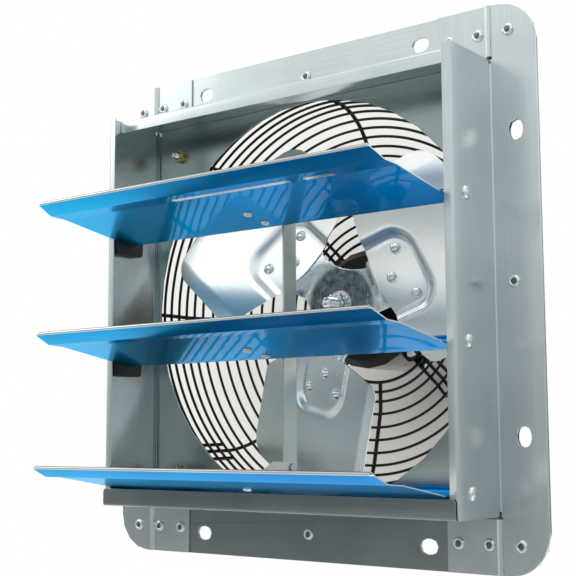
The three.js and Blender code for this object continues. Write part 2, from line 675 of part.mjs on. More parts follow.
// The bracket: a foot riveted on the louver's upper face, and an ear that reaches back to the tie bar.
function bracket() {
  const low = LOUVER_SHEET / 2 + FIT;
  const high = low + BRACKET_SHEET;
  const foot = alongX(new THREE.Shape([
    onPlane(FOOT_START, low), onPlane(FOOT_END, low), onPlane(FOOT_END, high), onPlane(FOOT_START, high),
  ]), FOOT_LEFT_X, EAR_LEFT_X + BRACKET_SHEET);
  const clear = BARREL_OUT_R + 2 * FIT + BRACKET_SHEET;
  const front = onPlane(FOOT_END, low);
  const back = onPlane(FOOT_START + BRACKET_SHEET, low);
  const ear = new THREE.Shape();
  ear.moveTo(front.x, front.y);
  ear.lineTo(back.x, back.y);
  ear.lineTo(-clear / 2, clear);
  ear.lineTo(LINK_BACK - EAR_EYE_R, clear + EAR_RISE / 2);
  ear.absarc(LINK_BACK, LINK_UP, EAR_EYE_R, -Math.PI / 2, Math.PI / 2);
  ear.lineTo(back.x, LINK_UP + EAR_EYE_R);
  ear.lineTo(front.x, front.y + EAR_RISE);
  ear.closePath();
  ear.holes.push(roundHole(LINK_BACK, LINK_UP, LINK_PIN_R + HOLE_PLAY));
  const upstand = alongX(ear, EAR_LEFT_X, EAR_LEFT_X + BRACKET_SHEET);
  return join(foot, upstand, ...bracketRivetS.map(bracketRivet));
}

// A rivet set in the bracket's foot, through the louver, headed on both sides.
function bracketRivet(s) {
  const under = LOUVER_SHEET / 2 + FIT;
  const over = under + BRACKET_SHEET / 2;
  return standing(s, FOOT_MID_X, [
    [0, -under - BRACKET_RIVET_HEAD_H],
    [BRACKET_RIVET_R, -under - BRACKET_RIVET_HEAD_H],
    [BRACKET_RIVET_HEAD_R, -under],
    [BRACKET_RIVET_R, -under],
    [BRACKET_RIVET_R, over],
    [BRACKET_RIVET_HEAD_R, over],
    [BRACKET_RIVET_R, over + BRACKET_RIVET_HEAD_H],
    [0, over + BRACKET_RIVET_HEAD_H],
  ], 6);
}

const louverSheet = louver();
const louverBracket = bracket();
LOUVER_NAMES.forEach((name, i) => {
  const unit = subGroup(fan, 0, PIVOT_Y, pivotZs[i]);
  piece(unit, `louver_${name}`, louverSheet, BLUE_FILM);
  piece(unit, `bracket_${name}`, louverBracket, ALUMINIUM);
});

// Tie bar and its three link pins

function tieBar() {
  const strip = alongX(roundedRectangle(
    BAR_WIDTH,
    2 * PIVOT_PITCH + 2 * BAR_END,
    BAR_END,
    PIVOT_Y + LINK_BACK,
    pivotZs[1] + LINK_UP,
  ), BAR_LEFT_X, BAR_LEFT_X + BAR_THICK);
  return join(strip, ...pivotZs.map((z) => linkPin().translate(0, PIVOT_Y + LINK_BACK, z + LINK_UP)));
}

// A link pin, set in the bar and headed outside it and outside the bracket's ear.
function linkPin() {
  const barHead = BAR_LEFT_X + BAR_THICK / 2;
  const earHead = EAR_LEFT_X + BRACKET_SHEET + FIT;
  return turned([
    [0, BAR_LEFT_X - LINK_PIN_HEAD_H],
    [LINK_PIN_HEAD_R, BAR_LEFT_X - LINK_PIN_HEAD_H],
    [LINK_PIN_HEAD_R, barHead],
    [LINK_PIN_R, barHead],
    [LINK_PIN_R, earHead],
    [LINK_PIN_HEAD_R, earHead],
    [LINK_PIN_HEAD_R, earHead + LINK_PIN_HEAD_H],
    [0, earHead + LINK_PIN_HEAD_H],
  ], 8).rotateZ(-Math.PI / 2);
}

piece(fan, 'tie_bar', tieBar(), ZINC);

// Rotor: blades, hub and shaft

// Columns across the blade's chord, at the pad's edges and round the tip's corners
const cornerStart = BLADE_HALF_CHORD - BLADE_CORNER_R;
const halfColumns = [
  PAD_FLAT_HALF, PAD_FLAT_HALF + PAD_BLEND, cornerStart, cornerStart + 0.7 * BLADE_CORNER_R, BLADE_HALF_CHORD,
];
const bladeColumns = [...halfColumns.map((v) => -v).reverse(), 0, ...halfColumns];

// The pitched plane of the pads, or of the hub plate's arms, at a place v across the chord.
const tilted = (midY, v) => midY - v * Math.tan(rad(PAD_TILT));

// The blade's middle surface: pitched and cambered, with a flat pad pressed back from the root to past the rivets.
function bladeY(u, v) {
  const share = v / BLADE_HALF_CHORD;
  const swept = BLADE_MID_Y - BLADE_PITCH_RISE * share - BLADE_CAMBER * share * share;
  const out = THREE.MathUtils.clamp(Math.max(u - PAD_FLAT_R, Math.abs(v) - PAD_FLAT_HALF) / PAD_BLEND, 0, 1);
  return THREE.MathUtils.lerp(tilted(PAD_Y, v), swept, THREE.MathUtils.smoothstep(out, 0, 1));
}

// The radial span of the blade at a place v across its chord.
function bladeSpan(v) {
  const share = Math.abs(v) / BLADE_HALF_CHORD;
  const root = BLADE_ROOT_R + BLADE_ROOT_SWEEP * share ** 1.5;
  const past = Math.max(Math.abs(v) - cornerStart, 0);
  const drop = BLADE_CORNER_R - Math.sqrt(BLADE_CORNER_R ** 2 - past ** 2);
  return [root + drop / 2, Math.sqrt(BLADE_TIP_R ** 2 - v ** 2) - drop];
}

// The radii of the blade's rows at a place v across its chord.
function bladeRows(v) {
  const [inner, outer] = bladeSpan(v);
  const between = THREE.MathUtils.lerp;
  const blendEnd = PAD_FLAT_R + PAD_BLEND;
  return [inner, between(inner, PAD_FLAT_R, 0.25), PAD_FLAT_R, blendEnd, between(blendEnd, outer, 0.55), outer];
}

// A thin sheet from rows of [u, v] places, each the same length, with its middle surface at a height y(u, v).
function sheetOf(rows, thickness, height) {
  const [count, length] = [rows.length, rows[0].length];
  const positions = signs.flatMap((side) => rows.flatMap((row) => row.flatMap(([u, v]) => (
    [u, height(u, v) + (side * thickness) / 2, v]))));
  const at = (side, row, i) => (side * count + row) * length + i;
  const corners = [];
  const quad = (p, q, r, t) => corners.push(p, q, r, p, r, t);
  for (let i = 0; i < count - 1; i += 1) {
    for (let j = 0; j < length - 1; j += 1) {
      quad(at(0, i, j), at(0, i, j + 1), at(0, i + 1, j + 1), at(0, i + 1, j));
      quad(at(1, i, j), at(1, i + 1, j), at(1, i + 1, j + 1), at(1, i, j + 1));
    }
    quad(at(0, i, 0), at(0, i + 1, 0), at(1, i + 1, 0), at(1, i, 0));
    quad(at(0, i, length - 1), at(1, i, length - 1), at(1, i + 1, length - 1), at(0, i + 1, length - 1));
  }
  for (let j = 0; j < length - 1; j += 1) {
    quad(at(0, 0, j), at(1, 0, j), at(1, 0, j + 1), at(0, 0, j + 1));
    quad(at(0, count - 1, j), at(0, count - 1, j + 1), at(1, count - 1, j + 1), at(1, count - 1, j));
  }
  const sheet = new THREE.BufferGeometry();
  sheet.setAttribute('position', new THREE.Float32BufferAttribute(positions, 3));
  sheet.setIndex(corners);
  return sheet;
}

function blade() {
  const sheet = sheetOf(bladeColumns.map((v) => bladeRows(v).map((u) => [u, v])), BLADE_SHEET, bladeY);
  return join(sheet, ...padRivets.map(([u, v]) => onPad(padRivet(), u, v)));
}

const padRivets = [
  [PAD_RIVET_R - PAD_RIVET_PITCH, 0],
  [PAD_RIVET_R, -PAD_RIVET_SIDE],
  [PAD_RIVET_R, PAD_RIVET_SIDE],
];

// Sets a turned piece square on a pad, with its zero on the pad's middle surface.
function onPad(geometry, u, v) {
  return geometry.rotateX(rad(PAD_TILT)).translate(u, tilted(PAD_Y, v), v);
}

// One arm of the hub plate: folded forward from the middle, and twisted to lie under its blade's pad.
function hubArm() {
  const cornerR = HUB_ARM_R - HUB_ARM_CORNER_R;
  const foldEnd = HUB_FOLD_R + HUB_FOLD_WIDTH;
  const rows = [
    [HUB_FOLD_R - HUB_THICK, HUB_NECK_HALF_WIDTH],
    [HUB_FOLD_R, HUB_NECK_HALF_WIDTH],
    [foldEnd, HUB_NECK_HALF_WIDTH],
    [(foldEnd + cornerR) / 2, HUB_NECK_HALF_WIDTH],
    [cornerR, HUB_ARM_HALF_WIDTH],
    [HUB_ARM_R, HUB_ARM_HALF_WIDTH - HUB_ARM_CORNER_R],
  ].map(([u, half]) => [-1, -0.5, 0, 0.5, 1].map((share) => [u, half * share]));
  const arm = sheetOf(rows, HUB_THICK, (u, v) => {
    const out = THREE.MathUtils.clamp((u - HUB_FOLD_R) / HUB_FOLD_WIDTH, 0, 1);
    return THREE.MathUtils.lerp(HUB_FRONT_Y, tilted(ARM_FRONT_Y, v), out) + HUB_THICK / 2;
  });
  const r = RIVET_SHANK_R + HOLE_PLAY;
  const length = 2 * (HUB_THICK + OVERRUN);
  return cut(arm, padRivets.map(([u, v]) => onPad(new THREE.CylinderGeometry(r, r, length, 6), u, v)));
}

// The hub plate: a flat middle with hollow edges, and three arms under the blades' pads.
function hubPlate() {
  const outline = new THREE.Shape();
  const folds = BLADE_ANGLES.map((angle) => signs.map((side) => (
    corner(HUB_FOLD_R, side * HUB_NECK_HALF_WIDTH).rotateAround(corner(0, 0), rad(angle)))));
  outline.moveTo(folds[0][0].x, folds[0][0].y);
  folds.forEach(([low, high], i) => {
    const [next] = folds[(i + 1) % folds.length];
    outline.lineTo(high.x, high.y);
    const waist = rad(BLADE_ANGLES[i] + 180 / BLADE_ANGLES.length);
    const pull = 2 * HUB_WAIST_R - high.clone().add(next).length() / 2;
    outline.quadraticCurveTo(pull * Math.cos(waist), pull * Math.sin(waist), next.x, next.y);
  });
  outline.holes.push(roundHole(0, 0, THREAD_R + HOLE_PLAY, 12));
  const middle = plate(outline, HUB_FRONT_Y, HUB_THICK, 4);
  return join(middle, ...BLADE_ANGLES.map((angle) => hubArm().rotateY(-rad(angle))));
}

// A rivet set in a blade's pad: domed in front, its shank through the hub plate's arm.
function padRivet() {
  const front = -BLADE_SHEET / 2;
  const back = BLADE_SHEET / 2 + FIT + HUB_THICK + RIVET_HEAD_H;
  return turned([
    [0, front - 2 * RIVET_HEAD_H],
    [RIVET_CROWN_R, front - 1.6 * RIVET_HEAD_H],
    [PAD_RIVET_HEAD_R, front - RIVET_HEAD_H / 2],
    [PAD_RIVET_HEAD_R, 0],
    [RIVET_SHANK_R, 0],
    [RIVET_SHANK_R, back],
    [0, back],
  ], 6);
}

// A ring whose bore's flats lie at the given inner radius.
function ring(innerR, outerR, lowY, highY, sides) {
  const bore = innerR / Math.cos(Math.PI / sides);
  return turned([[bore, lowY], [outerR, lowY], [outerR, highY], [bore, highY], [bore, lowY]], sides);
}

const MOTOR_BACK_Y = MOTOR_FRONT_Y + MOTOR_LENGTH;
const STATOR_MID_Y = MOTOR_FRONT_Y + MOTOR_LENGTH / 2;

function shaft() {
  const step = COLLAR_Y + COLLAR_LENGTH + FIT;
  const end = MOTOR_BACK_Y - MOTOR_WALL - HOLE_PLAY;
  const chamfer = THREAD_R / 5;
  return turned([
    [0, SHAFT_TIP_Y],
    [THREAD_R - chamfer, SHAFT_TIP_Y],
    [THREAD_R, SHAFT_TIP_Y + chamfer],
    [THREAD_R, step],
    [SHAFT_R, step],
    [SHAFT_R, end],
    [0, end],
  ], 12);
}

const rotor = subGroup(fan);
const bladeSheet = blade();
BLADE_ANGLES.forEach((angle, i) => {
  piece(rotor, `fan_blade_${i + 1}`, bladeSheet, ALUMINIUM).rotation.y = -rad(angle);
});
piece(rotor, 'hub_plate', hubPlate(), SPANGLED);
piece(rotor, 'motor_shaft', shaft(), STEEL);
const boreR = THREAD_R + HOLE_PLAY;
const washerFrontY = HUB_FRONT_Y - FIT - HUB_WASHER_T;
piece(rotor, 'hub_washer', ring(boreR, HUB_WASHER_R, washerFrontY, HUB_FRONT_Y - FIT, 16), BRIGHT);
piece(rotor, 'hub_nut', ring(boreR, HUB_NUT_R, washerFrontY - FIT - HUB_NUT_H, washerFrontY - FIT, 6), BRIGHT);
piece(rotor, 'hub_collar', ring(boreR, COLLAR_R, COLLAR_Y, COLLAR_Y + COLLAR_LENGTH, 16), STEEL);
const coreR = STATOR_BORE_R - ROTOR_GAP;
const coreHalf = STATOR_LENGTH / 2;
piece(rotor, 'rotor_core', ring(
  SHAFT_R + FIT,
  coreR,
  STATOR_MID_Y - coreHalf,
  STATOR_MID_Y + coreHalf,
  18,
), STEEL);

// Motor: two bells that meet edge to edge over the stator, with a bearing in each

const innerR = MOTOR_R - MOTOR_WALL;
const bearingBoreR = SHAFT_R + FIT;
const seatR = BEARING_R + FIT;
const frontBearingY = MOTOR_FRONT_Y - MOTOR_BOSS_H + MOTOR_WALL;
const backBearingY = MOTOR_BACK_Y - 2 * MOTOR_WALL - BEARING_WIDTH;

function frontBell() {
  const y = MOTOR_FRONT_Y;
  const open = y + MOTOR_SPLIT;
  const nose = y - MOTOR_BOSS_H;
  const shell = turned([
    [SHAFT_R + HOLE_PLAY, nose],
    [MOTOR_BOSS_R - MOTOR_WALL / 2, nose],
    [MOTOR_BOSS_R, nose + MOTOR_WALL / 2],
    [MOTOR_BOSS_R, y],
    [MOTOR_R - MOTOR_EDGE_R, y],
    [MOTOR_R, y + MOTOR_EDGE_R],
    [MOTOR_R, open],
    [innerR, open],
    [innerR, y + MOTOR_WALL],
    [seatR + MOTOR_WALL, y + MOTOR_WALL],
    [seatR + MOTOR_WALL, frontBearingY + BEARING_WIDTH],
    [seatR, frontBearingY + BEARING_WIDTH],
    [seatR, frontBearingY - FIT],
    [SHAFT_R + HOLE_PLAY, frontBearingY - FIT],
    [SHAFT_R + HOLE_PLAY, nose],
  ], 18);
  const lugs = armAngles.map((angle) => {
    const lug = roundedRectangle(LUG_REACH_R - innerR, LUG_WIDTH, MOTOR_WALL, (LUG_REACH_R + innerR) / 2);
    return plate(lug, LUG_BACK_Y - LUG_THICK, LUG_THICK, 1).rotateY(-angle);
  });
  const bore = new THREE.CylinderGeometry(innerR, innerR, MOTOR_LENGTH, 18)
    .translate(0, y + MOTOR_EDGE_R + MOTOR_LENGTH / 2, 0);
  const holes = armAngles.map((angle) => (
    new THREE.CylinderGeometry(LUG_SCREW_R + HOLE_PLAY, LUG_SCREW_R + HOLE_PLAY, 2 * LUG_THICK, 6)
      .translate(LUG_SCREW_RADIUS, LUG_BACK_Y - LUG_THICK / 2, 0).rotateY(-angle)));
  const lugRing = cut(join(...lugs), [bore]);
  return cut(join(shell, lugRing), holes);
}

function backBell() {
  const y = MOTOR_BACK_Y;
  const open = MOTOR_FRONT_Y + MOTOR_SPLIT + FIT;
  return turned([
    [0, y],
    [MOTOR_R - MOTOR_EDGE_R, y],
    [MOTOR_R, y - MOTOR_EDGE_R],
    [MOTOR_R, open],
    [innerR, open],
    [innerR, y - MOTOR_WALL],
    [seatR + MOTOR_WALL, y - MOTOR_WALL],
    [seatR + MOTOR_WALL, backBearingY],
    [seatR, backBearingY],
    [seatR, y - MOTOR_WALL],
    [0, y - MOTOR_WALL],
  ], 18);
}

const armAngles = guardBolts.map(([x, z]) => Math.atan2(z, x));
const motor = subGroup(fan);
piece(motor, 'motor_front_bell', frontBell(), BLACK_PAINT);
piece(motor, 'motor_back_bell', backBell(), BLACK_PAINT);
piece(motor, 'stator_core', ring(
  STATOR_BORE_R,
  STATOR_R,
  STATOR_MID_Y - coreHalf,
  STATOR_MID_Y + coreHalf,
  18,
), STEEL);
const windingInR = STATOR_BORE_R + MOTOR_WALL;
const windingOutR = innerR - MOTOR_WALL;
const windingY = coreHalf + FIT;
const backWindingY = STATOR_MID_Y + windingY;
const frontWindingY = STATOR_MID_Y - windingY - WINDING_DEPTH;
piece(motor, 'winding_front', ring(windingInR, windingOutR, frontWindingY, frontWindingY + WINDING_DEPTH, 16), COPPER);
piece(motor, 'winding_back', ring(windingInR, windingOutR, backWindingY, backWindingY + WINDING_DEPTH, 16), COPPER);
piece(motor, 'bearing_front', ring(
  bearingBoreR,
  BEARING_R,
  frontBearingY,
  frontBearingY + BEARING_WIDTH,
  16,
), STEEL);
piece(motor, 'bearing_back', ring(
  bearingBoreR,
  BEARING_R,
  backBearingY,
  backBearingY + BEARING_WIDTH,
  16,
), STEEL);

// Wire guard

// The basket's profile as [radius, y], from the mouth ring to the inner ring, pushed out by an offset.
function guardProfile() {
  const profile = new THREE.CurvePath();
  const mouth = corner(GUARD_MOUTH_R, GUARD_MOUTH_Y);
  const side = corner(GUARD_MOUTH_R - GUARD_SIDE_LEAN, GUARD_BACK_Y - GUARD_SIDE_DROP);
  const shoulder = corner(GUARD_MOUTH_R - GUARD_SHOULDER_IN, GUARD_BACK_Y - GUARD_SHOULDER_DROP);
  const crown = corner(GUARD_MOUTH_R - GUARD_CROWN_IN, GUARD_BACK_Y - GUARD_CROWN_DROP);
  const back = corner(GUARD_INNER_R + GUARD_FLAT, GUARD_BACK_Y);
  const inner = corner(GUARD_INNER_R, GUARD_BACK_Y);
  profile.add(new THREE.LineCurve(mouth, side));
  profile.add(new THREE.QuadraticBezierCurve(side, shoulder, crown));
  profile.add(new THREE.LineCurve(crown, back));
  profile.add(new THREE.LineCurve(back, inner));
  return profile;
}

const profile = guardProfile();
// One ring. Its wire has three corners, one of them outwards, where the spokes are welded on. The rings
// near the motor have more sides, so that they also meet the short wires beside the slanted spokes.
function guardRing(share, i) {
  const wireR = share === 1 ? INNER_WIRE_R : RING_WIRE_R;
  const sides = i < WIDE_RINGS ? 24 : 32;
  const section = [0, 120, 240, 0].map((turn) => {
    const place = overProfile(share, wireR).rotateAround(profile.getPointAt(share), rad(turn));
    return [place.x, place.y];
  });
  return turned(section, sides);
}

// The point at a share of the profile, moved outwards by an offset.
function overProfile(share, offset) {
  const tangent = profile.getTangentAt(share);
  return profile.getPointAt(share).add(corner(tangent.y, -tangent.x).multiplyScalar(offset));
}

// A wire welded over the rings, from a share of the profile to an inner radius, beside the radial line.
function overWire(angle, wireR, startShare, innerR, beside = 0) {
  const line = RING_SHARES.filter((share) => share >= startShare).map((share) => {
    const point = overProfile(share, RING_WIRE_R + wireR - WELD);
    return new THREE.Vector3(point.x, share === 0 ? PANEL_BACK_Y + FIT : point.y, beside);
  });
  line.push(new THREE.Vector3(innerR, line[line.length - 1].y, beside));
  return wire(line, wireR, 4).rotateY(-angle);
}

// The loop round a guard bolt: two legs up over the outer rings, joined by a bend on the panel.
function guardLoop(angle) {
  const footR = Math.hypot(GUARD_BOLT_X, GUARD_BOLT_Z);
  const half = LOOP_GAP / 2;
  const top = overProfile(LOOP_SHARE, RING_WIRE_R + ARM_WIRE_R + FIT);
  const wallR = overProfile(0, RING_WIRE_R + ARM_WIRE_R + FIT).x;
  const line = [
    top,
    corner(wallR, ARM_FOOT_Y + ARM_BEND_R),
    corner(wallR + 0.3 * ARM_BEND_R, ARM_FOOT_Y + 0.3 * ARM_BEND_R),
    corner(wallR + ARM_BEND_R, ARM_FOOT_Y),
    corner(footR, ARM_FOOT_Y),
  ];
  const run = line.map((point) => new THREE.Vector3(point.x, point.y, half));
  const bend = [45, 0, -45].map((turn) => new THREE.Vector3(
    footR + half * Math.cos(rad(turn)),
    ARM_FOOT_Y,
    half * Math.sin(rad(turn)),
  ));
  const back = line.map((point) => new THREE.Vector3(point.x, point.y, -half)).reverse();
  return wire([...run, ...bend, ...back], ARM_WIRE_R, 4).rotateY(-angle);
}

const guard = subGroup(fan);
const spokeEndR = GUARD_INNER_R - INNER_WIRE_R;
const legEndR = MOTOR_R + HOLE_PLAY + FIT;
piece(guard, 'wire_guard', join(
  ...RING_SHARES.map(guardRing),
  ...[0, 90, 180, 270].map((angle) => overWire(rad(angle), SPOKE_WIRE_R, 0, spokeEndR)),
  ...armAngles.map((angle) => overWire(angle, ARM_WIRE_R, 0, spokeEndR)),
  ...armAngles.flatMap((angle) => signs.map((side) => (
    overWire(angle, ARM_WIRE_R, LADDER_SHARE, legEndR, (side * LADDER_GAP) / 2)))),
), BLACK_PAINT);
const armNames = ['lower_left', 'upper_left', 'lower_right', 'upper_right'];
armAngles.forEach((angle, i) => piece(guard, `guard_arm_${armNames[i]}`, guardLoop(angle), BLACK_PAINT));

// Guard bolts: head and washer behind the loops, nut in front of the panel

const washerY = ARM_FOOT_Y + ARM_WIRE_R + FIT;
const boltHeadY = washerY + GUARD_WASHER_T;
const nutBackY = PANEL_FRONT_Y - FIT;

// A flanged bolt, its flange behind both legs of the loop and its round tip in front of the nut.
function guardBolt() {
  const tip = nutBackY - GUARD_NUT_H - GUARD_BOLT_TIP;
  return turned([
    [0, tip],
    [GUARD_BOLT_R / 2, tip],
    [GUARD_BOLT_R, tip + GUARD_BOLT_R / 2],
    [GUARD_BOLT_R, washerY],
    [GUARD_WASHER_R, washerY],
    [GUARD_WASHER_R, boltHeadY],
    [GUARD_BOLT_HEAD_R, boltHeadY],
    [GUARD_BOLT_HEAD_R, boltHeadY + GUARD_BOLT_HEAD_H],
    [0, boltHeadY + GUARD_BOLT_HEAD_H],
  ], 8);
}

guardBolts.forEach(([x, z], i) => {
  piece(guard, `guard_bolt_${armNames[i]}`, guardBolt(), BRIGHT).position.set(x, 0, z);
  const nut = ring(GUARD_BOLT_R + HOLE_PLAY, GUARD_NUT_R, nutBackY - GUARD_NUT_H, nutBackY, 6);
  piece(guard, `guard_nut_${armNames[i]}`, nut, BRASS_ZINC).position.set(x, 0, z);
});

// Motor mounting: a clamp plate and a screw hold each pair of short wires to a lug

const clampY = ARM_BACK_Y + ARM_WIRE_R + FIT;

// The clamp plate and its screw, drawn along X and turned to the arm's angle.
function motorClamp() {
  const length = 2 * (LUG_SCREW_RADIUS - legEndR) + LADDER_GAP / 2;
  const outline = roundedRectangle(length, LUG_WIDTH, MOTOR_WALL / 2, legEndR + length / 2);
  const front = LUG_BACK_Y - LUG_THICK - FIT;
  const back = clampY + CLAMP_THICK / 2;
  const screw = turned([
    [0, front - LUG_SCREW_HEAD_H],
    [LUG_SCREW_HEAD_R, front - LUG_SCREW_HEAD_H],
    [LUG_SCREW_HEAD_R, front],
    [LUG_SCREW_R, front],
    [LUG_SCREW_R, back],
    [0, back],
  ], 6).translate(LUG_SCREW_RADIUS, 0, 0);
  return join(plate(outline, clampY, CLAMP_THICK, 1), screw);
}

armAngles.forEach((angle, i) => {
  piece(motor, `motor_clamp_${armNames[i]}`, motorClamp(), BRIGHT).rotation.y = -angle;
});

export default fan;
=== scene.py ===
import math

import bmesh
import bpy
from mathutils import Matrix, Vector


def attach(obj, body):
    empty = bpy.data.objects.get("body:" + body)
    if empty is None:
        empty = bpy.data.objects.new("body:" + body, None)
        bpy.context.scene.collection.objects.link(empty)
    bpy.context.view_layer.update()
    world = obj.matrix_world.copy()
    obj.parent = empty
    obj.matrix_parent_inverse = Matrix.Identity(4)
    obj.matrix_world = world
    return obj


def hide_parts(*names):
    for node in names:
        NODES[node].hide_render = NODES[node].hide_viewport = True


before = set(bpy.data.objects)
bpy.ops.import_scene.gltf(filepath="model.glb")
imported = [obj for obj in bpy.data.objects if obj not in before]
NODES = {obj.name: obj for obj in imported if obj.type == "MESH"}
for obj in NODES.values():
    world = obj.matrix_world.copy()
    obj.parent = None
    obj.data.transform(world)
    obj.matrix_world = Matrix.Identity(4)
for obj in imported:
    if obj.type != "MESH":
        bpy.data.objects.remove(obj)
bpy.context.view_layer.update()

# A shutter exhaust fan. Plain CAD nodes stay, with fine bevels and a material. The louvers, blades, hub, shaft,
# fasteners and guard are drawn again in finer meshes, each at the place of the node that it replaces.

MM = 0.001

# Sizes of the CAD model, in millimetres

HALF_FLANGE = 200
FLANGE_CORNER_R = 30
RIVET_LINE = 179.5
RIVET_PITCH = 24
CROSS_SHEET_Y = 1.3
PANEL_BACK_Y = 3.6
PIN_HEAD_X = 164.4
PIVOT_Y = -37.5
PIVOT_Z = {"top": 58.2, "middle": -42.7, "bottom": -143.6}
LOUVER_HALF = 156.0
BLADE_ANGLES = (18, 138, 258)
BOLTS = {"lower_left": (-137, -134.5), "upper_left": (-137, 134.5),
         "lower_right": (137, -134.5), "upper_right": (137, 134.5)}


# Materials: every one is a node tree in object space

def nodes_of(name):
    mat = bpy.data.materials.new(name)
    mat.use_nodes = True
    tree = mat.node_tree
    return mat, tree, tree.nodes["Principled BSDF"]


def add(tree, kind, **settings):
    node = tree.nodes.new(kind)
    for key, value in settings.items():
        if key.startswith("in_"):
            node.inputs[key[3:].replace("_", " ")].default_value = value
        else:
            setattr(node, key, value)
    return node


def axes_of(tree, space="Object"):
    """The X, Y and Z of a place, or of a ray's direction in the world's Generated space."""
    coords = add(tree, "ShaderNodeTexCoord")
    axes = add(tree, "ShaderNodeSeparateXYZ")
    tree.links.new(coords.outputs[space], axes.inputs[0])
    return axes.outputs


def object_space(tree, scale):
    coords = add(tree, "ShaderNodeTexCoord")
    mapping = add(tree, "ShaderNodeMapping", in_Scale=scale)
    tree.links.new(coords.outputs["Object"], mapping.inputs["Vector"])
    return mapping.outputs["Vector"]


def noise(tree, scale, size, detail=3.0, distortion=0.0):
    node = add(tree, "ShaderNodeTexNoise", in_Scale=size, in_Detail=detail, in_Distortion=distortion)
    tree.links.new(object_space(tree, scale), node.inputs["Vector"])
    return node.outputs["Fac"]


def ramp(tree, value, *stops):
    node = add(tree, "ShaderNodeValToRGB")
    while len(node.color_ramp.elements) < len(stops):
        node.color_ramp.elements.new(0.5)
    for element, (position, color) in zip(node.color_ramp.elements, stops):
        element.position = position
        element.color = (*color, 1) if len(color) == 3 else color
    tree.links.new(value, node.inputs["Fac"])
    return node.outputs["Color"]


def shades(color, *shares):
    """The colour at several shares of its brightness."""
    return [tuple(c * share for c in color) for share in shares]


def mixed(tree, share, first, second, blend="MIX"):
    node = add(tree, "ShaderNodeMix", data_type="RGBA", blend_type=blend)
    for socket, value in ((node.inputs["Factor"], share), (node.inputs["A"], first), (node.inputs["B"], second)):
        if isinstance(value, bpy.types.NodeSocket):
            tree.links.new(value, socket)
        else:
            socket.default_value = value
    return node.outputs["Result"]


def spread(tree, value, low, high):
    """A value from 0 to 1, spread from low to high."""
    node = add(tree, "ShaderNodeMapRange", in_To_Min=low, in_To_Max=high)
    tree.links.new(value, node.inputs["Value"])
    return node.outputs["Result"]


def map_range(tree, value, low, high, smooth=False):
    """A value from low to high, brought to 0 to 1 and held there."""
    node = add(tree, "ShaderNodeMapRange", interpolation_type="SMOOTHSTEP" if smooth else "LINEAR")
    node.inputs["From Min"].default_value = low
    node.inputs["From Max"].default_value = high
    tree.links.new(value, node.inputs["Value"])
    return node.outputs["Result"]


def bumped(tree, shader, height, strength, distance):
    node = add(tree, "ShaderNodeBump", in_Strength=strength, in_Distance=distance)
    tree.links.new(height, node.inputs["Height"])
    tree.links.new(node.outputs["Normal"], shader.inputs["Normal"])
    return node


def sheet_metal(name, color, rough, mottle=0.06, grain=(1, 1, 1), grain_share=0.03, bump=0.25, dents=0.0):
    """Rolled and zinc-coated sheet: cloudy tone, a fine grain along the rolling, and an uneven gloss."""
    mat, tree, shader = nodes_of(name)
    shader.inputs["Metallic"].default_value = 1.0
    clouds = noise(tree, (1, 1, 1), 14, 4, 0.4)
    low, high = shades(color, 1 - mottle, 1 + mottle)
    tone = ramp(tree, clouds, (0.3, low), (0.7, high))
    lines = noise(tree, grain, 900, 2)
    low, high = shades((1, 1, 1), 1 - grain_share, 1 + grain_share)
    fine = ramp(tree, lines, (0.3, low), (0.7, high))
    tree.links.new(mixed(tree, 1.0, tone, fine, "MULTIPLY"), shader.inputs["Base Color"])
    gloss = spread(tree, noise(tree, (1, 1, 1), 40, 5), rough * 0.85, rough * 1.15)
    tree.links.new(gloss, shader.inputs["Roughness"])
    grained = bumped(tree, shader, lines, bump, 0.00004)
    if dents:
        waves = add(tree, "ShaderNodeBump", in_Strength=dents, in_Distance=0.001)
        tree.links.new(noise(tree, (1, 1, 1), 22, 1.0, 0.3), waves.inputs["Height"])
        tree.links.new(waves.outputs["Normal"], grained.inputs["Normal"])
    return mat


HUB_MIDDLE_R, HUB_RIM_R = 0.0285, 0.034
STREAK_SIZE = 1100
TURN_SHARE = 0.005


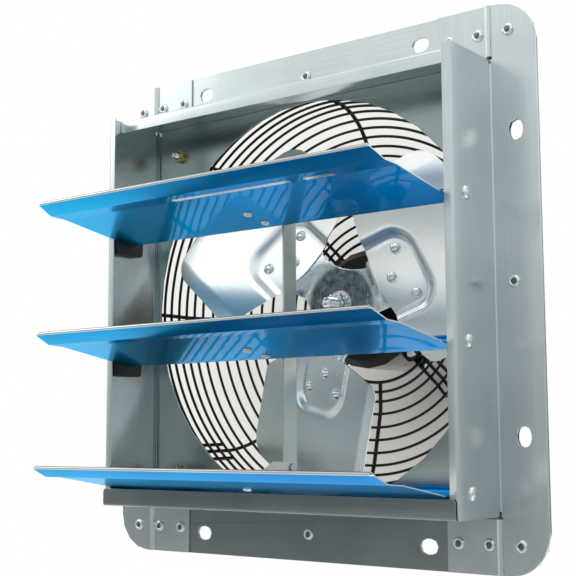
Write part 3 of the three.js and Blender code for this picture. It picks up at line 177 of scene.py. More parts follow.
def spangled(name, dark, light, rim, rough):
    """Zinc sheet with a dark cloudy tone, soft crystals, fine streaks round the shaft, and short scratches.

    Past the hub's flat middle it takes the rim's even colour.
    """
    mat, tree, shader = nodes_of(name)
    shader.inputs["Metallic"].default_value = 1.0
    clouds = noise(tree, (1, 1, 1), 70, 5, 1.6)
    tone = ramp(tree, clouds, (0.36, dark), (0.68, light))
    cells = add(tree, "ShaderNodeTexVoronoi", in_Scale=260, in_Randomness=1.0)
    tree.links.new(object_space(tree, (1, 1, 1)), cells.inputs["Vector"])
    parts = add(tree, "ShaderNodeSeparateColor")
    tree.links.new(cells.outputs["Color"], parts.inputs["Color"])
    low, high = shades((1, 1, 1), 0.85, 1.15)
    tone = mixed(tree, 1.0, tone, ramp(tree, parts.outputs["Red"], (0.0, low), (1.0, high)), "MULTIPLY")

    # Streaks: noise over the radius and a small share of the angle
    axes = axes_of(tree)
    flat = add(tree, "ShaderNodeCombineXYZ")
    tree.links.new(axes["X"], flat.inputs["X"])
    tree.links.new(axes["Z"], flat.inputs["Z"])
    radius = add(tree, "ShaderNodeVectorMath", operation="LENGTH")
    tree.links.new(flat.outputs[0], radius.inputs[0])
    angle = add(tree, "ShaderNodeMath", operation="ARCTAN2")
    tree.links.new(axes["Z"], angle.inputs[0])
    tree.links.new(axes["X"], angle.inputs[1])
    slow = add(tree, "ShaderNodeMath", operation="MULTIPLY")
    slow.inputs[1].default_value = TURN_SHARE
    tree.links.new(angle.outputs[0], slow.inputs[0])
    around = add(tree, "ShaderNodeCombineXYZ")
    tree.links.new(radius.outputs["Value"], around.inputs["X"])
    tree.links.new(slow.outputs[0], around.inputs["Y"])
    streaks = add(tree, "ShaderNodeTexNoise", in_Scale=STREAK_SIZE, in_Detail=3.0, in_Distortion=0.5)
    tree.links.new(around.outputs[0], streaks.inputs["Vector"])
    marks = ramp(tree, streaks.outputs["Fac"], (0.5, (0, 0, 0)), (0.7, (0.34, 0.38, 0.4)))

    # Scratches: two sets of lines, turned to either side
    coords = add(tree, "ShaderNodeTexCoord")
    for turned, size in (((0, 0.7, 0), 700), ((0, -0.6, 0), 860)):
        mapping = add(tree, "ShaderNodeMapping", in_Rotation=turned, in_Scale=(1, 1, 0.12))
        tree.links.new(coords.outputs["Object"], mapping.inputs["Vector"])
        line = add(tree, "ShaderNodeTexNoise", in_Scale=size, in_Detail=2.0, in_Distortion=0.3)
        tree.links.new(mapping.outputs["Vector"], line.inputs["Vector"])
        scratch = ramp(tree, line.outputs["Fac"], (0.6, (0, 0, 0)), (0.72, (0.3, 0.34, 0.36)))
        marks = mixed(tree, 1.0, marks, scratch, "LIGHTEN")
    scratched = mixed(tree, 0.55, tone, marks, "ADD")
    arm = map_range(tree, radius.outputs["Value"], HUB_MIDDLE_R, HUB_RIM_R, True)
    tree.links.new(mixed(tree, arm, scratched, (*rim, 1)), shader.inputs["Base Color"])
    tree.links.new(spread(tree, parts.outputs["Green"], rough * 0.8, rough * 1.3), shader.inputs["Roughness"])
    bumped(tree, shader, streaks.outputs["Fac"], 0.35, 0.00015)
    return mat


def film(name, light, deep):
    """Clear blue film over flat aluminium: the metal under it shines softly, the film on top sharply.

    The tone goes from light at the louver's left end to deep at its right end: a painted reflection, standing in for
    the brighter light that the left end mirrors.
    """
    mat, tree, shader = nodes_of(name)
    shader.inputs["Metallic"].default_value = 1.0
    shader.inputs["Specular Tint"].default_value = (0.1, 0.7, 1.0, 1)
    shader.inputs["Coat Weight"].default_value = 0.24
    shader.inputs["Coat Roughness"].default_value = 0.03
    shader.inputs["Coat IOR"].default_value = 1.5
    middle = tuple(0.4 * a + 0.6 * b for a, b in zip(light, deep))
    width = map_range(tree, axes_of(tree)["X"], -LOUVER_HALF * MM, LOUVER_HALF * MM)
    painted_reflection_across = ramp(tree, width, (0.0, light), (0.35, middle), (0.8, deep))
    low, high = shades((1, 1, 1), 0.88, 1.12)
    clouds = ramp(tree, noise(tree, (1, 1, 1), 9, 2, 0.5), (0.35, low), (0.68, high))
    tree.links.new(mixed(tree, 1.0, painted_reflection_across, clouds, "MULTIPLY"), shader.inputs["Base Color"])
    tree.links.new(spread(tree, noise(tree, (1, 1, 1), 60, 3), 0.26, 0.34), shader.inputs["Roughness"])
    ripples = add(tree, "ShaderNodeBump", in_Strength=0.22, in_Distance=0.0007)
    tree.links.new(noise(tree, (1, 0.55, 1), 34, 1.5, 0.6), ripples.inputs["Height"])
    tree.links.new(ripples.outputs["Normal"], shader.inputs["Coat Normal"])
    return mat


def coated(name, color, rough, size, bump, gloss=0.5):
    """Paint or moulded plastic: a little tone, an orange-peel surface and an uneven gloss."""
    mat, tree, shader = nodes_of(name)
    shader.inputs["Specular IOR Level"].default_value = gloss
    low, high = shades(color, 0.8, 1.25)
    tree.links.new(ramp(tree, noise(tree, (1, 1, 1), 30, 3), (0.3, low), (0.7, high)), shader.inputs["Base Color"])
    peel = noise(tree, (1, 1, 1), size, 2)
    tree.links.new(spread(tree, peel, rough * 0.8, rough * 1.2), shader.inputs["Roughness"])
    bumped(tree, shader, peel, bump, 0.0001)
    return mat


ZINC = (0.635, 0.7, 0.715)
MATERIALS = {
    "side": sheet_metal("galvanised_side", ZINC, 0.24, grain=(1, 1, 0.02)),
    "cross": sheet_metal("galvanised_cross", ZINC, 0.24, grain=(0.02, 1, 1)),
    # The bottom channel's zinc, darker than the top channel's: painted shade on the lower part of the fan
    "cross_shaded": sheet_metal("galvanised_bottom_shaded", (0.3, 0.36, 0.37), 0.24, 0.08, (0.02, 1, 1)),
    # The panel's zinc, darker than the channels': painted shade deep inside the box
    "panel": sheet_metal("galvanised_panel_shaded", (0.36, 0.43, 0.43), 0.24, 0.08, (0.03, 1, 1)),
    "bar": sheet_metal("galvanised_bar", (0.6, 0.67, 0.64), 0.26, 0.08, (1, 1, 0.03)),
    "louver": sheet_metal("bare_aluminium", (0.8, 0.78, 0.75), 0.36, 0.04, (0.02, 1, 1)),
    # The film's light and deep ends: the step from one to the other is painted reflection
    "film": film("blue_film", (0.0, 0.43, 0.71), (0.0, 0.26, 0.65)),
    "blade": sheet_metal("bright_aluminium", (0.8, 0.85, 0.86), 0.26, 0.02, (1, 1, 0.1), 0.01, 0.03, 0.25),
    "hub": spangled("spangled_zinc", (0.05, 0.07, 0.08), (0.19, 0.24, 0.26), (0.66, 0.74, 0.76), 0.28),
    "bright": sheet_metal("bright_zinc", (0.76, 0.8, 0.8), 0.19, 0.05, (1, 1, 1), 0.03, 0.15),
    "hem": sheet_metal("bare_edge", (0.36, 0.325, 0.3), 0.4, 0.05, (0.02, 1, 1)),
    "brass": sheet_metal("yellow_zinc", (0.5, 0.42, 0.2), 0.3, 0.12, (1, 1, 1), 0.05, 0.3),
    "steel": sheet_metal("machined_steel", (0.6, 0.61, 0.62), 0.3, 0.06, (1, 0.05, 1), 0.05, 0.3),
    "copper": sheet_metal("winding_copper", (0.7, 0.36, 0.2), 0.32, 0.1, (1, 0.1, 1), 0.1, 0.6),
    # Steel of the rivets' mandrels, darkened as painted shade in their hollows
    "dark": sheet_metal("mandrel_steel_shaded", (0.15, 0.16, 0.16), 0.3, 0.1, (1, 1, 1), 0.05, 0.3),
    "black": coated("black_enamel", (0.005, 0.005, 0.006), 0.36, 500, 0.15, gloss=0.3),
    "plastic": coated("black_nylon", (0.018, 0.019, 0.02), 0.55, 900, 0.3),
}


# Meshes, drawn in millimetres

def piece(name, shapes, body, looks, replaces=(), sharp=38, by_face=None):
    """One piece of the scene from a list of (points, faces); by_face gives each face's look."""
    points, faces = [], []
    for shape_points, shape_faces in shapes:
        start = len(points)
        points += [Vector(p) * MM for p in shape_points]
        faces += [[start + i for i in face] for face in shape_faces]
    mesh = bpy.data.meshes.new(name)
    mesh.from_pydata([tuple(p) for p in points], [], faces)
    for look in looks:
        mesh.materials.append(MATERIALS[look])
    for i, polygon in enumerate(mesh.polygons):
        polygon.use_smooth = True
        if by_face:
            polygon.material_index = by_face(i)
    edit = bmesh.new()
    edit.from_mesh(mesh)
    if not by_face:
        bmesh.ops.recalc_face_normals(edit, faces=edit.faces)
    for edge in edit.edges:
        if len(edge.link_faces) == 2:
            edge.smooth = edge.calc_face_angle(0) < math.radians(sharp)
    edit.to_mesh(mesh)
    edit.free()
    obj = bpy.data.objects.new(name, mesh)
    bpy.context.scene.collection.objects.link(obj)
    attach(obj, body)
    if replaces:
        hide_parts(*replaces)


def moved(shape, matrix):
    return [matrix @ Vector(p) for p in shape[0]], shape[1]


def at(x, y, z):
    return Matrix.Translation((x, y, z))


def turn(degrees, axis):
    return Matrix.Rotation(math.radians(degrees), 4, axis)


# A shape drawn along Z is turned to the front (-Y) or to the back (+Y)
TO_FRONT = turn(90, "X")
TO_BACK = turn(-90, "X")


def lathe(profile, sides):
    """A turned shape about Z from (radius, height) pairs."""
    points, faces, rows = [], [], []
    for r, h in profile:
        start = len(points)
        if r < 1e-6:
            points.append((0, 0, h))
            rows.append([start] * sides)
        else:
            points += [(r * math.cos(2 * math.pi * i / sides), r * math.sin(2 * math.pi * i / sides), h)
                       for i in range(sides)]
            rows.append([start + i for i in range(sides)])
    for low, high in zip(rows, rows[1:]):
        for i in range(sides):
            j = (i + 1) % sides
            face = [low[i], low[j], high[j], high[i]]
            face = [v for k, v in enumerate(face) if v != face[k - 1]]
            if len(face) > 2:
                faces.append(face)
    return points, faces


def ring_of(path, radius, sides, closed):
    """A wire of round section along points."""
    path = [Vector(p) for p in path]
    count = len(path)
    points, faces = [], []
    first = (path[1] - path[0]).normalized()
    side = first.orthogonal().normalized()
    for i, place in enumerate(path):
        before = path[i - 1] if i or closed else path[i]
        after = path[(i + 1) % count] if i < count - 1 or closed else path[i]
        along = (after - before).normalized()
        side = (side - along * side.dot(along)).normalized()
        other = along.cross(side)
        bend = 1.0
        if 0 < i < count - 1:
            bend = 1 / max((place - path[i - 1]).normalized().dot(along), 0.7)
        for k in range(sides):
            angle = 2 * math.pi * k / sides
            points.append(place + (side * math.cos(angle) + other * math.sin(angle)) * radius * bend)
    last = count if closed else count - 1
    for i in range(last):
        for k in range(sides):
            a, b = i * sides, ((i + 1) % count) * sides
            m = (k + 1) % sides
            faces.append([a + k, b + k, b + m, a + m])
    if not closed:
        faces.append(list(range(sides))[::-1])
        faces.append([(count - 1) * sides + k for k in range(sides)])
    return points, faces


def disc_arc(r, start, end, steps, centre=(0, 0)):
    """Points on a circle, from one angle in degrees to another."""
    return [(centre[0] + r * math.cos(math.radians(start + (end - start) * i / steps)),
             centre[1] + r * math.sin(math.radians(start + (end - start) * i / steps))) for i in range(steps + 1)]


def grid(rows, per_row):
    """Gives the index of a point on a two-sided grid, from its side, row and place in the row."""
    return lambda side, i, j: (side * rows + i) * per_row + j


# CAD nodes that stay: welded, with fine bevels and a finish

WELD_REACH = 0.01 * MM


def dress(node, look, bevel=0.25):
    obj = NODES[node]
    for slot in obj.material_slots:
        slot.material = MATERIALS[look]
    obj.modifiers.new("weld", "WELD").merge_threshold = WELD_REACH
    edges = obj.modifiers.new("edges", "BEVEL")
    edges.width = bevel * MM
    edges.segments = 2
    edges.limit_method = "ANGLE"
    edges.angle_limit = math.radians(35)
    edges.use_clamp_overlap = True
    obj.modifiers.new("shading", "WEIGHTED_NORMAL")


for name, look in {
    "orifice_panel": "panel", "side_channel_left": "side", "side_channel_right": "side",
    "top_channel": "cross", "bottom_channel": "cross_shaded", "tie_bar": "bar",
    "motor_front_bell": "black", "motor_back_bell": "black", "stator_core": "steel",
    "winding_front": "copper", "winding_back": "copper", "bearing_front": "steel", "bearing_back": "steel",
    "rotor_core": "steel", "hub_collar": "steel",
}.items():
    dress(name, look)
for name in NODES:
    if name.startswith("pivot_block"):
        dress(name, "plastic", 0.5)
    elif name.startswith("pivot_pin") or name.startswith("motor_clamp"):
        dress(name, "bright", 0.2)
    elif name.startswith("bracket"):
        dress(name, "louver", 0.15)


# Louvers

def direction(tilt):
    """The way to the front in (y, z), raised by a tilt in degrees."""
    return Vector((-math.cos(math.radians(tilt)), math.sin(math.radians(tilt))))


def rotated(point, centre, degrees):
    a = math.radians(degrees)
    d = point - centre
    return centre + Vector((d.x * math.cos(a) - d.y * math.sin(a), d.x * math.sin(a) + d.y * math.cos(a)))


def fold(a, b, c, r, steps):
    """The arc that rounds the corner b of the line a-b-c."""
    into, out = (b - a).normalized(), (c - b).normalized()
    angle = math.atan2(into.x * out.y - into.y * out.x, into.dot(out))
    start = b - into * r * math.tan(abs(angle) / 2)
    centre = start + Vector((-into.y, into.x)) * r * (1 if angle > 0 else -1)
    return [rotated(start, centre, math.degrees(angle) * i / steps) for i in range(steps + 1)]


PLANE_TILT, STRIP_TILT, LIP_TILT = 9.5, 3, 23.5
PLANE_LENGTH, STRIP_LENGTH, LIP_LENGTH = 73.2, 14.5, 15.5
PLANE_UP = Vector((math.sin(math.radians(PLANE_TILT)), math.cos(math.radians(PLANE_TILT))))
LIP_UP = Vector((math.sin(math.radians(LIP_TILT)), math.cos(math.radians(LIP_TILT))))
BARREL_R, BARREL_WRAP, BARREL_STEPS = 4.5, 318, 36
PLANE_START = PLANE_UP * -BARREL_R
PLANE_STEPS = 10
LOUVER_FOLD_R = 2.2
HEM_R, HEM_RETURN, HEM_STEPS = 0.9, 5, 8
LOUVER_SHEET = 0.8
LIP_CORNER_R = 4.0
STATIONS = 26

# On the top louver, a strip past the knee takes bright metal in place of its film, at these stations along its
# length: a painted highlight, standing in for the glints along the fold
GLINT_STRIP_WIDTH = 5
GLINT_STATIONS = (10, 11, 12, 13, 14, 15, 16, 17, 18, 20, 21)
LOUVER_LOOKS = ["louver", "film", "bright", "hem"]
BARE, FILM, CUT, HEM = range(4)


def louver_line():
    """The louver's section about its pivot, in (y, z), with the places of the knee and of the film's end."""
    turns = [BARREL_WRAP * (1 - i / BARREL_STEPS) for i in range(BARREL_STEPS)]
    barrel = [rotated(PLANE_START, Vector((0, 0)), degrees) for degrees in turns]
    knee = PLANE_START + direction(PLANE_TILT) * PLANE_LENGTH
    strip_end = knee + direction(STRIP_TILT) * STRIP_LENGTH
    lip_end = strip_end + direction(LIP_TILT) * LIP_LENGTH
    plane = [PLANE_START.lerp(knee, i / PLANE_STEPS) for i in range(PLANE_STEPS)]
    line = barrel + plane + fold(plane[0], knee, strip_end, LOUVER_FOLD_R, 4)
    past_knee = len(line) - 1
    line.append(line[-1] + direction(STRIP_TILT) * GLINT_STRIP_WIDTH)
    line += fold(knee, strip_end, lip_end, LOUVER_FOLD_R, 5)
    line.append(lip_end)
    film_end = len(line) - 1
    centre = lip_end + LIP_UP * HEM_R
    hem = [rotated(lip_end, centre, -180 * i / HEM_STEPS) for i in range(1, HEM_STEPS + 1)]
    line += hem + [hem[-1] - direction(LIP_TILT) * HEM_RETURN]
    return line, past_knee, film_end


def louver(name):
    line, past_knee, film_end = louver_line()
    last = len(line) - 1
    under, upper = [], []
    for i, p in enumerate(line):
        before, after = line[max(i - 1, 0)], line[min(i + 1, last)]
        into = (p - before).normalized() if i else (after - p).normalized()
        out = (after - p).normalized() if i < last else into
        along = (into + out).normalized()
        side = Vector((-along.y, along.x)) * (LOUVER_SHEET / 2 / max(along.dot(into), 0.5))
        under.append(p + side)
        upper.append(p - side)
    front = min(p.x for p in line)
    z0 = PIVOT_Z[name]
    points, faces, finish = [], [], {}
    for row in (under, upper):
        for i, p in enumerate(row):
            depth = min(max(line[i].x - front, 0), LIP_CORNER_R) if i <= film_end else 0
            rounding = LIP_CORNER_R - math.sqrt(max(LIP_CORNER_R ** 2 - (LIP_CORNER_R - depth) ** 2, 0))
            half = LOUVER_HALF - rounding
            for k in range(STATIONS + 1):
                points.append((half * (2 * k / STATIONS - 1), PIVOT_Y + p.x, z0 + p.y))
    index = grid(len(line), STATIONS + 1)
    for i in range(last):
        look = FILM if i < film_end else CUT if i < film_end + HEM_STEPS // 2 else HEM
        for k in range(STATIONS):
            # Bright metal in place of film at these stations: painted highlight along the top louver's fold
            glint_strip = i == past_knee and name == "top" and k in GLINT_STATIONS
            finish[len(faces)] = CUT if glint_strip else look
            if i >= film_end:
                finish[len(faces) + 1] = look
            faces.append([index(0, i, k), index(0, i, k + 1), index(0, i + 1, k + 1), index(0, i + 1, k)])
            faces.append([index(1, i, k), index(1, i + 1, k), index(1, i + 1, k + 1), index(1, i, k + 1)])
        for k, flip in ((0, False), (STATIONS, True)):
            face = [index(0, i, k), index(0, i + 1, k), index(1, i + 1, k), index(1, i, k)]
            finish[len(faces)] = CUT
            faces.append(face[::-1] if flip else face)
    for i, flip in ((0, True), (last, False)):
        for k in range(STATIONS):
            face = [index(0, i, k), index(0, i, k + 1), index(1, i, k + 1), index(1, i, k)]
            faces.append(face[::-1] if flip else face)
    piece(f"louver_{name}_sheet", [(points, faces)], f"{name}_louver",
          LOUVER_LOOKS, [f"louver_{name}"], 30, lambda i: finish.get(i, BARE))


BRACKET_RIVET_X = -3
BRACKET_RIVET_REACHES = (9, 30)
CUPPED_HEAD = [(0, 0.5), (1.0, 0.6), (1.5, 1.3), (2.2, 1.45), (3.0, 1.1), (3.5, 0.4), (3.6, 0), (0, 0)]


def bracket_rivets(name):
    """The heads under the louver of the two rivets that hold its bracket: a washer ring and a cupped middle."""
    shapes = []
    for reach in BRACKET_RIVET_REACHES:
        place = PLANE_START + direction(PLANE_TILT) * reach - PLANE_UP * (LOUVER_SHEET / 2)
        seat = at(BRACKET_RIVET_X, PIVOT_Y + place.x, PIVOT_Z[name] + place.y)
        shapes.append(moved(lathe(CUPPED_HEAD, 24), seat @ turn(180 - PLANE_TILT, "X")))
    piece(f"bracket_{name}_rivets", shapes, f"{name}_louver", ["bright"])


for name in PIVOT_Z:
    louver(name)
    bracket_rivets(name)


# Rotor

HALF_CHORD = 72.0
BLADE_SHEET = 1.2
BLADE_TIP_R, BLADE_CORNER_R = 150, 12
BLADE_ROOT_R, BLADE_ROOT_SWEEP = 42, 16
BLADE_MID_Y, BLADE_PITCH_RISE, BLADE_CAMBER = 36.5, 23.5, 5
CURL_START, CURL_SLOPE = 61, 0.1
BLADE_COLUMNS, BLADE_ROWS = 76, 52
PAD_Y = 40.0
PAD_TILT = 18.8
PAD_SLOPE = math.tan(math.radians(PAD_TILT))
PAD_LENGTH, PAD_HALF, PAD_CORNER_R, PAD_BLEND = 82.5, 25, 14, 9
PAD_RIVETS = ((56.4, 0), (70.2, -18.1), (70.2, 18.1))
RIVET_DOME = [(0, 2.6), (1.1, 2.52), (2.2, 2.2), (3.2, 1.65), (4.0, 0.9), (4.5, 0.25), (4.7, 0), (0, 0)]
RIVET_TAIL = [(0, 1.6), (2.0, 1.5), (2.9, 0.9), (3.1, 0), (0, 0)]
RIVET_TAIL_Y = 3.9


def smoothstep(t):
    t = min(max(t, 0.0), 1.0)
    return t * t * (3 - 2 * t)


def past_pad(u, v, length, half, corner):
    """The distance of a place outside a pad with round corners, negative inside it."""
    out_u, out_v = u - length, abs(v) - half
    du, dv = max(out_u + corner, 0), max(out_v + corner, 0)
    return math.hypot(du, dv) - corner if du > 0 and dv > 0 else max(out_u, out_v)


def blade_height(u, v):
    """The y of the blade's middle at u along its arm and v across: a pitched and cambered sheet with a flat pad."""
    share = v / HALF_CHORD
    curl = CURL_SLOPE * max(v - CURL_START, 0)
    swept = BLADE_MID_Y - BLADE_PITCH_RISE * share - BLADE_CAMBER * share * share + curl
    outside = smoothstep(past_pad(u, v, PAD_LENGTH, PAD_HALF, PAD_CORNER_R) / PAD_BLEND)
    return PAD_Y - PAD_SLOPE * v + (swept - PAD_Y + PAD_SLOPE * v) * outside


def blade_span(v):
    """Where the blade begins and ends along its arm, at v across it."""
    share = abs(v) / HALF_CHORD
    past = max(abs(v) - (HALF_CHORD - BLADE_CORNER_R), 0)
    drop = BLADE_CORNER_R - math.sqrt(max(BLADE_CORNER_R ** 2 - past * past, 0))
    return BLADE_ROOT_R + BLADE_ROOT_SWEEP * share ** 1.5 + drop / 2, math.sqrt(BLADE_TIP_R ** 2 - v * v) - drop


def blade(number, angle):
    # Columns lie closer together at the two side edges
    columns = [math.sin(math.pi * i / BLADE_COLUMNS - math.pi / 2) * 0.35 + (2 * i / BLADE_COLUMNS - 1) * 0.65
               for i in range(BLADE_COLUMNS + 1)]
    rows = [i / BLADE_ROWS for i in range(BLADE_ROWS + 1)]
    points, faces = [], []
    for side in (-1, 1):
        for c in columns:
            v = c * HALF_CHORD
            low, high = blade_span(v)
            for share in rows:
                u = low + (high - low) * share
                points.append((u, blade_height(u, v) + side * BLADE_SHEET / 2, v))
    n, m = len(columns), len(rows)
    index = grid(n, m)
    for i in range(n - 1):
        for j in range(m - 1):
            faces.append([index(0, i, j), index(0, i, j + 1), index(0, i + 1, j + 1), index(0, i + 1, j)])
            faces.append([index(1, i, j), index(1, i + 1, j), index(1, i + 1, j + 1), index(1, i, j + 1)])
        faces.append([index(0, i, 0), index(0, i + 1, 0), index(1, i + 1, 0), index(1, i, 0)])
        faces.append([index(0, i, m - 1), index(1, i, m - 1), index(1, i + 1, m - 1), index(0, i + 1, m - 1)])
    for j in range(m - 1):
        faces.append([index(0, 0, j), index(1, 0, j), index(1, 0, j + 1), index(0, 0, j + 1)])
        faces.append([index(0, n - 1, j), index(0, n - 1, j + 1), index(1, n - 1, j + 1), index(1, n - 1, j)])
    spin = turn(-angle, "Y")
    piece(f"blade_{number}_sheet", [moved((points, faces), spin)], "rotor", ["blade"],
          [f"fan_blade_{number}"])
    rivets = []
    for u, v in PAD_RIVETS:
        place = spin @ at(u, PAD_Y - PAD_SLOPE * v, v) @ turn(PAD_TILT, "X")
        rivets.append(moved(lathe(RIVET_DOME, 28), place @ at(0, -BLADE_SHEET / 2, 0) @ TO_FRONT))
        rivets.append(moved(lathe(RIVET_TAIL, 20), place @ at(0, RIVET_TAIL_Y, 0) @ TO_BACK))
    piece(f"blade_{number}_rivets", rivets, "rotor", ["bright"])


for number, angle in enumerate(BLADE_ANGLES, 1):
    blade(number, angle)


def nut(r, height):
    """A hexagon nut along Z from 0 to its height, its corners turned off at both ends."""
    sides, chamfer = 48, 0.35
    apothem = r * math.cos(math.radians(30))
    points, faces = [], []
    levels = (0, chamfer, height - chamfer, height)
    for h in levels:
        for i in range(sides):
            a = 2 * math.pi * i / sides
            flat = apothem / math.cos((a % (math.pi / 3)) - math.pi / 6)
            edge = apothem * 1.01 if h in (0, height) else min(flat, r * 0.985)
            points.append((edge * math.cos(a), edge * math.sin(a), h))
    for i in range(len(levels) - 1):
        for k in range(sides):
            m = (k + 1) % sides
            faces.append([i * sides + k, i * sides + m, (i + 1) * sides + m, (i + 1) * sides + k])
    start = len(points)
    bore = r * 0.58
    for h in (0, height):
        for k in range(sides):
            points.append((bore * math.cos(2 * math.pi * k / sides), bore * math.sin(2 * math.pi * k / sides), h))
    top = (len(levels) - 1) * sides
    for k in range(sides):
        m = (k + 1) % sides
        faces.append([k, start + k, start + m, m])
        faces.append([top + k, top + m, start + sides + m, start + sides + k])
        faces.append([start + k, start + sides + k, start + sides + m, start + m])
    return points, faces


def thread(r, low, high, pitch=1.0):
    """A threaded stud along Z with a rounded end at the top."""
    profile = [(0, low), (r * 0.86, low)]
    h = low
    while h < high - 1.2 - pitch:
        profile += [(r * 0.86, h + pitch * 0.1), (r, h + pitch * 0.5), (r * 0.86, h + pitch * 0.9)]
        h += pitch
    profile += [(r * 0.84, high - 1.2), (r * 0.8, high - 0.6), (r * 0.55, high - 0.12), (0, high)]
    return lathe(profile, 24)


# Hub plate: a flat middle, and three arms folded forward and twisted to lie under the pads

HUB_FRONT_Y, ARM_FRONT_Y = 46.0, 40.9
HUB_THICK = 3.0
HUB_FOLD_R, HUB_FOLD_WIDTH = 31, 11
HUB_WAIST_R = 29.5
HUB_BORE_R = 5.3
HUB_RINGS = 30
WAIST_STEPS = 14


def hub_height(x, z):
    """The y of the plate's front face."""
    height = HUB_FRONT_Y
    for angle in BLADE_ANGLES:
        a = math.radians(angle)
        u, v = x * math.cos(a) + z * math.sin(a), z * math.cos(a) - x * math.sin(a)
        if abs(v) < u:
            height += (ARM_FRONT_Y - PAD_SLOPE * v - HUB_FRONT_Y) * smoothstep((u - HUB_FOLD_R) / HUB_FOLD_WIDTH)
    return height


def hub_outline():
    """The plate's outline in (x, z), from the first arm's low side on."""
    line = []
    arm = [(31, -19), (36, -18.9), (42, -19), (50, -19.4), (57, -20.2), (64, -21.4)]
    arm = [*arm, *disc_arc(8, -75, 0, 8, (72, -15))]
    arm += [(u, -v) for u, v in reversed(arm)]
    dense = []
    for (u0, v0), (u1, v1) in zip(arm, arm[1:]):
        steps = max(1, round(math.hypot(u1 - u0, v1 - v0) / 2))
        dense += [Vector((u0 + (u1 - u0) * i / steps, v0 + (v1 - v0) * i / steps)) for i in range(steps)]
    dense.append(Vector(arm[-1]))
    turned = []
    for angle in BLADE_ANGLES:
        spin = Matrix.Rotation(math.radians(angle), 2)
        turned.append([spin @ p for p in dense])
    for i, arm in enumerate(turned):
        following = turned[(i + 1) % 3][0]
        line += arm
        waist = math.radians(BLADE_ANGLES[i] + 60)
        pull = 2 * HUB_WAIST_R - (arm[-1] + following).length / 2
        middle = Vector((pull * math.cos(waist), pull * math.sin(waist)))
        for k in range(1, WAIST_STEPS):
            t = k / WAIST_STEPS
            line.append(arm[-1] * (1 - t) ** 2 + middle * 2 * t * (1 - t) + following * t * t)
    return line


def hub_plate():
    outline = hub_outline()
    n = len(outline)
    first = HUB_BORE_R / 30
    edge, chamfer = 0.7, 0.5
    points, faces, rim = [], [], set()
    for y in (0.0, HUB_THICK):
        for i in range(HUB_RINGS + 1):
            share = first + (1 - first) * i / HUB_RINGS
            for p in outline:
                q = p * share if i else p.normalized() * HUB_BORE_R
                if i == HUB_RINGS:
                    q = p - p.normalized() * edge
                points.append((q.x, hub_height(q.x, q.y) + y, q.y))
    for y in (chamfer, HUB_THICK - chamfer):
        for p in outline:
            points.append((p.x, hub_height(p.x, p.y) + y, p.y))
    layer = (HUB_RINGS + 1) * n
    for k in range(n):
        m = (k + 1) % n
        for i in range(HUB_RINGS):
            a, b = i * n, (i + 1) * n
            faces.append([a + k, b + k, b + m, a + m])
            faces.append([layer + a + k, layer + a + m, layer + b + m, layer + b + k])
        # The plate's edge and its chamfers take bright metal: a bare cut edge, and also a painted highlight for the
        # white glints along the rim
        edges = [HUB_RINGS * n, 2 * layer, 2 * layer + n, layer + HUB_RINGS * n]
        for a, b in zip(edges, edges[1:]):
            rim.add(len(faces))
            faces.append([a + k, b + k, b + m, a + m])
        faces.append([layer + k, k, m, layer + m])
    piece("hub_plate_body", [(points, faces)], "rotor", ["hub", "bright"], ["hub_plate"], 38,
          lambda i: 1 if i in rim else 0)


HUB_WASHER = [(5.3, 0), (11.5, 0), (11.5, 1.3), (11.2, 1.6), (5.3, 1.6), (5.3, 0)]
SHAFT = [(0, 0), (5, 0), (5, 24.3), (6, 24.3), (6, 106.5), (5.6, 106.7), (0, 106.7)]
hub_plate()
piece("hub_washers", [moved(lathe(HUB_WASHER, 40), at(0, 45.7, 0) @ TO_FRONT)],
      "rotor", ["bright"], ["hub_washer"])
piece("hub_nut_body", [moved(nut(9.2, 7), at(0, 43.8, 0) @ TO_FRONT)],
      "rotor", ["bright"], ["hub_nut"])
piece("shaft_end", [moved(thread(5, 0, 21, 1.0), at(0, HUB_FRONT_Y, 0) @ TO_FRONT),
                    moved(lathe(SHAFT, 32), at(0, HUB_FRONT_Y, 0) @ TO_BACK)],
      "rotor", ["bright"], ["motor_shaft"])


# Wire guard

def profile_points():
    """The basket's section in (radius, y), sampled closely."""
    mouth, side = Vector((167, PANEL_BACK_Y + 1.4)), Vector((165.2, 48))
    crown, back, inner = Vector((128, 89.5)), Vector((84, 100)), Vector((61, 100))
    shoulder, middle = Vector((160, 78)), Vector((106, 94.75))

    def curve(a, b, c):
        return [a * (1 - t) ** 2 + b * 2 * t * (1 - t) + c * t * t for t in (i / 60 for i in range(60))]

    line = [mouth.lerp(side, i / 60) for i in range(60)]
    line += curve(side, shoulder, crown) + curve(crown, middle, back)
    return line + [back.lerp(inner, i / 60) for i in range(61)]


PROFILE = profile_points()
LENGTHS = [0.0]
for a, b in zip(PROFILE, PROFILE[1:]):
    LENGTHS.append(LENGTHS[-1] + (b - a).length)


def along_profile(share):
    """The point and the outward normal at a share of the section's length."""
    target = share * LENGTHS[-1]
    i = max(min(next((k for k, d in enumerate(LENGTHS) if d >= target), len(LENGTHS) - 1), len(LENGTHS) - 1), 1)
    t = (target - LENGTHS[i - 1]) / (LENGTHS[i] - LENGTHS[i - 1])
    tangent = (PROFILE[i] - PROFILE[i - 1]).normalized()
    return PROFILE[i - 1].lerp(PROFILE[i], t), Vector((tangent.y, -tangent.x))


def over_profile(offset, start=0.0, count=72):
    """Points at an offset outside the section, from a share of its length to its end."""
    line = []
    for i in range(round(start * count), count + 1):
        place, normal = along_profile(i / count)
        line.append(place + normal * offset)
    return line


def about_y(line, angle, shift=0.0):
    """A line in (radius, y), turned about Y by an angle and shifted to one side."""
    a = math.radians(angle)
    return [Vector((p.x * math.cos(a) - shift * math.sin(a), p.y, p.x * math.sin(a) + shift * math.cos(a)))
            for p in line]


